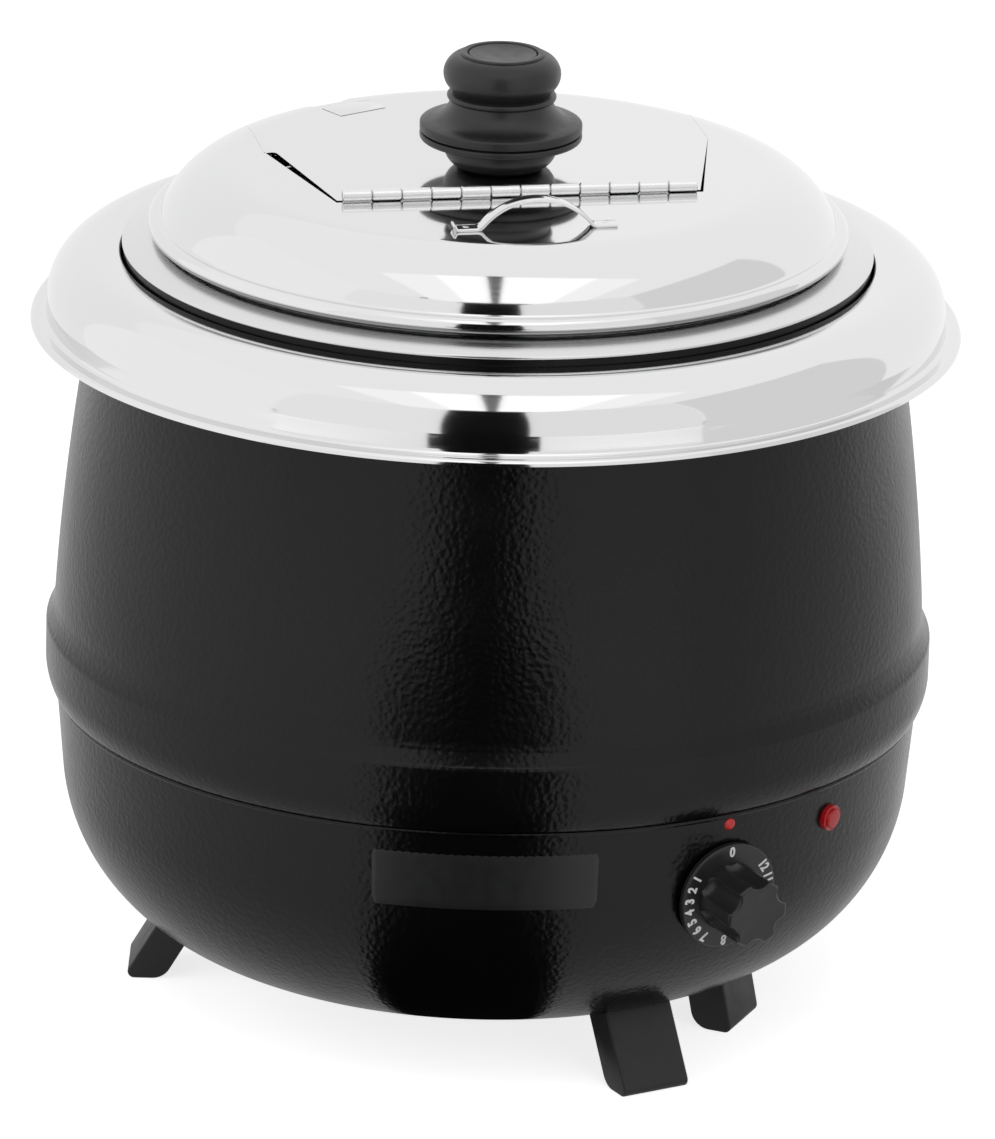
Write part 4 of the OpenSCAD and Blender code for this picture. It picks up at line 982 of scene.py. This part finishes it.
def digitsMesh(text, size, bold, thick):
    curve = bpy.data.curves.new("digits", "FONT")
    curve.body = text
    curve.size = size
    curve.offset = bold
    curve.extrude = thick
    curve.align_x, curve.align_y = "CENTER", "CENTER"
    curve.resolution_u = 6
    carrier = newObject("digits", curve)
    graph = bpy.context.evaluated_depsgraph_get()
    mesh = bpy.data.meshes.new_from_object(carrier.evaluated_get(graph))
    part = [tuple(v.co) for v in mesh.vertices], [list(p.vertices) for p in mesh.polygons]
    bpy.data.objects.remove(carrier)
    return part


numberParts = []
for number, turn in marks.items():
    digits = digitsMesh(str(number), dial["numberSize"], dial["numberBold"], dial["numberThick"])
    narrow = Matrix.Diagonal((dial["numberNarrow"], 1, 1, 1))
    lay = (Matrix.Rotation(radians(turn), 4, "Z")
           @ Matrix.Translation((0, dial["numberR"], dial["skirt"] + dial["numberSink"])) @ narrow)
    numberParts.append(moved(digits, lay))
addPiece("dialNumbers", joinParts(numberParts), "dial", "ceramic_cream", printWhite, place=dialPlace)

lens = {"bearing": 52.1, "z": 104, "radius": 4.9, "bezel": 0.9, "high": 3.2, "stem": 3.9, "stemLong": 5,
        "gap": 0.15, "wall": 0.55, "round": 0.6}


def lensOutline():
    r, h = lens["radius"], lens["high"]
    out = [(0, -lens["stemLong"]), (lens["stem"], -lens["stemLong"]), (lens["stem"], 0), (r, 0)]
    out += [(r, h * lens["wall"])]
    out += arc((r - lens["round"], h * lens["wall"]), lens["round"], 0, 70, 5)
    out += [(r - lens["bezel"] - 0.2, h * 0.62), (r - lens["bezel"] - 0.4, h * 0.62)]
    out += arc((r - lens["bezel"] - 1.2, h - 0.7), 0.7, 20, 90, 5)
    out += [(0, h + 0.15)]
    return out


lampLens = addPiece("lampLens", spin(lensOutline(), 72, closed=False), "kettle", "lamp_red",
                    place=onBowl(lens["bearing"], lens["z"], lens["gap"]))
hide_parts("lamp_lens")

dot = {"z": 113.2, "radius": 2.3, "rim": 0.25, "high": 0.95, "stem": 1.7, "stemLong": 3, "gap": 0.1}
dotOutline = [(0, -dot["stemLong"]), (dot["stem"], -dot["stemLong"]), (dot["stem"], 0), (dot["radius"], 0)]
for turn in (0, 20, 40, 60, 78):
    dotOutline.append((dot["radius"] * cos(radians(turn)), dot["rim"] + dot["high"] * sin(radians(turn))))
dotOutline += [(0, dot["rim"] + dot["high"])]
indexDot = addPiece("indexDot", spin(dotOutline, 48, closed=False), "kettle", "index_red",
                    place=onBowl(dial["bearing"], dot["z"], dot["gap"]))
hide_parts("index_dot")
print("controls made")


# bare plate on the front of the bowl

plate = {"from": -14.3, "to": 15.3, "low": 87, "high": 109.5, "proud": 0.35, "sink": 0.25, "corner": 1.2,
         "soft": 0.12, "columns": 48, "rows": 8}


def platePart():
    # a thin curved plate that follows the wall, its corners rounded in the unrolled plan
    rMid = bowlRadius((plate["low"] + plate["high"]) / 2)
    halfW = radians(plate["to"] - plate["from"]) / 2 * rMid
    halfH = (plate["high"] - plate["low"]) / 2
    midA, midZ = (plate["from"] + plate["to"]) / 2, (plate["low"] + plate["high"]) / 2
    columns, rows = plate["columns"], plate["rows"]
    us = [-halfW + 2 * halfW * i / columns for i in range(columns + 1)]
    c = plate["corner"]
    verts, faces = [], []
    for v in [-halfH + 2 * halfH * k / rows for k in range(rows + 1)]:
        for u in us:
            over = max(abs(v) - (halfH - c), 0)
            limit = halfW - c + sqrt(max(c * c - over * over, 0))
            uu = max(-limit, min(limit, u))
            z = midZ + v
            a = radians(midA) + uu / rMid
            r = bowlRadius(z) + plate["proud"]
            verts.append((r * sin(a), -r * cos(a), z))
    for k in range(rows):
        for i in range(columns):
            a = k * (columns + 1) + i
            faces.append((a, a + 1, a + columns + 2, a + columns + 1))
    return verts, faces


addPiece("frontPlate", platePart(), "kettle", "plate_black", plateCharcoal,
         thickness=plate["proud"] + plate["sink"], bevel=plate["soft"], bevelSteps=2)
print("plate made")


# legs

legs = {"width": 27.5, "thick": 15.5, "toe": 2.5, "heel": 7.5, "top": 37, "soft": 0.8}
# bearing, reach on the floor and lean of each leg
legPlaces = {
    "leg_front": (30, 133, 30), "leg_side": (67, 108.5, 12),
    "leg_rear": (150, 133, 30), "leg_left": (-90, 133, 30),
}


def legProfile(reach, lean):
    toe = legs["toe"] / tan(radians(90 - lean) / 2)
    heel = legs["heel"] / tan(radians(90 + lean) / 2)
    tip = reach + toe - legs["toe"]
    back = tip - legs["thick"]
    run = legs["top"] * tan(radians(lean))
    out = arc((tip - toe, legs["toe"]), legs["toe"], -90, lean, 8)
    out += [(tip - run, legs["top"]), (back - run, legs["top"])]
    out += arc((back + heel, legs["heel"]), legs["heel"], 180 + lean, 270, 10)
    return out


def legPart(reach, lean):
    # the side profile pushed across the leg's width
    profile = legProfile(reach, lean)
    half = legs["width"] / 2
    n = len(profile)
    verts = [(x, y, z) for y in (-half, half) for x, z in profile]
    faces = [(i, (i + 1) % n, n + (i + 1) % n, n + i) for i in range(n)]
    faces.append(list(reversed(range(n))))
    faces.append([n + i for i in range(n)])
    return verts, faces


cutterOutline = [(0, bowl["under"])] + bowlOutline()[1:bowl["cornerSteps"] + 1]
cutterOutline += [(bowlRadius(bowl["seam"]), bowl["seam"]), (0, bowl["seam"])]
bowlCutter = addPiece("bowlCutter", spin(cutterOutline, 128, closed=False), "kettle", "leg_black")


def carve(obj, cutter):
    cut = obj.modifiers.new("cut", "BOOLEAN")
    cut.operation = "DIFFERENCE"
    cut.object = cutter
    cut.solver = "EXACT"
    bakeModifiers(obj)


for nodeName, (bearing, reach, lean) in legPlaces.items():
    place = Matrix.Rotation(radians(bearing - 90), 4, "Z")
    words = nodeName.split("_")
    leg = addPiece(words[0] + words[1].title(), legPart(reach, lean), "kettle", "leg_black",
                   bevel=legs["soft"], bevelSteps=4, place=place)
    carve(leg, bowlCutter)
    leg.data.shade_smooth()
    leg.data.set_sharp_from_angle(angle=radians(32))
    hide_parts(nodeName)
bpy.data.objects.remove(bowlCutter)
print("legs made")


# cord gland at the back

gland = {"bearing": 180, "z": 92, "bore": 4.2, "body": 9.5, "thread": 7, "out": 9, "tail": 14,
         "straight": 0.33, "shoulder": 3.4, "lip": 0.7}


def glandOutline():
    g = gland
    shoulder, lip = g["shoulder"], g["lip"]
    out = [(g["bore"], -g["tail"]), (g["thread"], -g["tail"]), (g["thread"], 0), (g["body"], 0)]
    out += [(g["body"], g["out"] * g["straight"])]
    out += arc((g["body"] - shoulder, g["out"] - shoulder - 0.2), shoulder, 0, 78, 8)
    out += arc((g["bore"] + lip, g["out"] - lip), lip, 90, 180, 5)
    return out


cordGland = addPiece("cordGland", spin(glandOutline(), 72), "kettle", "phenolic_black",
                     place=onBowl(gland["bearing"], gland["z"]))
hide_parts("cord_gland")
print("gland made")


# floor, light and camera

def seenPlain(tree):
    # 1 for camera, glossy and transmission rays, which see the plain background, and 0 for all others
    paths = addNode(tree, "ShaderNodeLightPath")
    seen = mathNode(tree, "MAXIMUM", paths.outputs["Is Camera Ray"], paths.outputs["Is Glossy Ray"])
    return mathNode(tree, "MAXIMUM", seen, paths.outputs["Is Transmission Ray"])


stage = {"floor": 6.0, "floorColor": 0.80, "floorGlow": 0.78, "mirrorGlow": 0.3, "worldFill": 0.4}
edge = stage["floor"]
corners = [(-edge, -edge, 0), (edge, -edge, 0), (edge, edge, 0), (-edge, edge, 0)]
floorMesh = newMesh("floor", corners, [(0, 1, 2, 3)])
floor = newObject("floor", floorMesh)
floorMaterial, floorTree, floorShader = newMaterial("floorPaper", (stage["floorColor"],) * 3, 0.9)
floorShader.inputs["Specular IOR Level"].default_value = 0.0
floorShader.inputs["Emission Color"].default_value = (1, 1, 1, 1)
# reflections see the floor darker than the camera does
floorPaths = addNode(floorTree, "ShaderNodeLightPath")
dimmed = mathNode(floorTree, "MULTIPLY", floorPaths.outputs["Is Glossy Ray"],
                  stage["floorGlow"] - stage["mirrorGlow"])
glow = mathNode(floorTree, "MULTIPLY", seenPlain(floorTree), stage["floorGlow"])
glow = mathNode(floorTree, "SUBTRACT", glow, dimmed)
floorTree.links.new(glow, floorShader.inputs["Emission Strength"])
floorMesh.materials.append(floorMaterial)

world = bpy.data.worlds.new("studio")
bpy.context.scene.world = world
world.use_nodes = True
# only rays that bounce reach the backdrop, so that the cards hide it in reflections
world.cycles.sampling_method = "NONE"
worldTree = world.node_tree
background = worldTree.nodes["Background"]
background.inputs["Color"].default_value = (1, 1, 1, 1)
fill = addNode(worldTree, "ShaderNodeMapRange", s0=seenPlain(worldTree), s1=0.0, s2=1.0,
               s3=stage["worldFill"], s4=1.0)
worldTree.links.new(fill.outputs[0], background.inputs["Strength"])


def around(bearing, reach, z):
    # a point round the kettle; the bearing runs from the front to the right
    return reach * sin(radians(bearing)), -reach * cos(radians(bearing)), z


def addCard(name, corners, shade):
    # a studio card that only reflections see
    mesh = newMesh(name, corners, [(0, 1, 2, 3)])
    card = newObject(name, mesh)
    material = bpy.data.materials.new(name)
    material.use_nodes = True
    tree = material.node_tree
    tree.nodes.clear()
    material.cycles.emission_sampling = "NONE"
    light = addNode(tree, "ShaderNodeEmission", Color=(shade, shade, shade, 1), Strength=1.0)
    out = addNode(tree, "ShaderNodeOutputMaterial")
    tree.links.new(light.outputs[0], out.inputs["Surface"])
    mesh.materials.append(material)
    card.visible_camera = False
    card.visible_diffuse = False
    card.visible_shadow = False
    card.visible_transmission = False


# upright cards: bearings from and to, heights from and to, distance, shade
uprights = {
    "frontGap": (-30, 26, 0.0, 2.9, 2.9, 0.006),
    "frontFoot": (-20, 15, 0.0, 0.13, 0.47, 0.004),
    "leftBoxFront": (-52, -12, 0.02, 1.32, 1.3, 0.96),
    "leftBoxSide": (-118, -52, 0.02, 1.2, 1.05, 1.02),
    "rightBox": (8.5, 50, 0.02, 1.32, 1.3, 0.91),
    "rightGrey": (50, 108, 0.0, 1.15, 1.1, 0.79),
    "rightBack": (108, 180, 0, 1.0, 1.1, 1.0),
    "leftBack": (-180, -118, 0, 1.0, 1.1, 0.95),
}
for cardName, (first, last, low, high, reach, shade) in uprights.items():
    addCard(cardName, [around(first, reach, low), around(last, reach, low), around(last, reach, high),
                       around(first, reach, high)], shade)
# cards on the floor: bearings from and to, distances from and to, shade
flats = {
    "floorNear": (-21, 15, 0.06, 0.6, 0.004),
    "floorFar": (-12.5, 9, 0.6, 1.05, 0.004),
    "floorBack": (-15, 11, 1.05, 2.9, 0.004),
    "floorRight": (50, 150, 0.35, 1.1, 0.80),
}
cardLift = 0.003
for cardName, (first, last, near, far, shade) in flats.items():
    turns = ((first, near), (last, near), (last, far), (first, far))
    addCard(cardName, [around(turn, out, cardLift) for turn, out in turns], shade)
# cards overhead, in front of the kettle: left and right edges, near and far edges, height, shade
overheads = {
    "frontTop": (-0.36, 0.62, -1.75, -0.33, 1.80, 1.3),
    "frontTopLeft": (-0.75, -0.36, -1.75, -0.33, 1.80, 1.12),
    "frontTopRight": (0.62, 1.0, -1.75, -0.33, 1.80, 1.12),
    "cameraArm": (-0.055, 0.035, -1.75, -0.30, 1.78, 0.12),
}
for cardName, (left, right, front, rear, high, shade) in overheads.items():
    addCard(cardName, [(left, front, high), (right, front, high), (right, rear, high), (left, rear, high)],
            shade)


def addLamp(name, place, target, size, radiance):
    lamp = bpy.data.lights.new(name, "AREA")
    lamp.shape = "RECTANGLE"
    lamp.size, lamp.size_y = size
    lamp.energy = pi * size[0] * size[1] * radiance
    obj = newObject(name, lamp)
    obj.location = place
    obj.rotation_euler = (Vector(target) - Vector(place)).to_track_quat("-Z", "Y").to_euler()
    obj.visible_camera = False
    obj.visible_glossy = False


middle = (0, 0, 0.3)
# place, size and brightness of each soft lamp
lamps = {
    "softLeft": ((-1.25, -0.62, 0.62), (1.9, 1.15), 1.08),
    "softRight": ((0.78, -1.15, 0.62), (1.05, 1.15), 1.02),
    "softTop": ((-0.05, -1.1, 1.75), (1.7, 0.8), 1.7),
}
for lampName, (place, size, radiance) in lamps.items():
    addLamp(lampName, place, middle, size, radiance)

view = {"target": (0.003, 0, 0.1625), "distance": 3.5, "elevation": 18.93, "roll": 1.5, "lens": 338.4}
camera = bpy.data.cameras.new("camera")
camera.sensor_fit = "HORIZONTAL"
camera.sensor_width = 36
camera.lens = view["lens"]
camera.clip_end = 50
cameraObject = newObject("camera", camera)
lift = radians(view["elevation"])
target = Vector(view["target"])
cameraObject.location = target + view["distance"] * Vector((0, -cos(lift), sin(lift)))
aim = (target - cameraObject.location).to_track_quat("-Z", "Y").to_matrix().to_4x4()
aim = aim @ Matrix.Rotation(radians(view["roll"]), 4, "Z")
cameraObject.rotation_euler = aim.to_euler()
bpy.context.scene.camera = cameraObject
bpy.context.scene.view_settings.view_transform = "Standard"
print("stage, light and camera set")
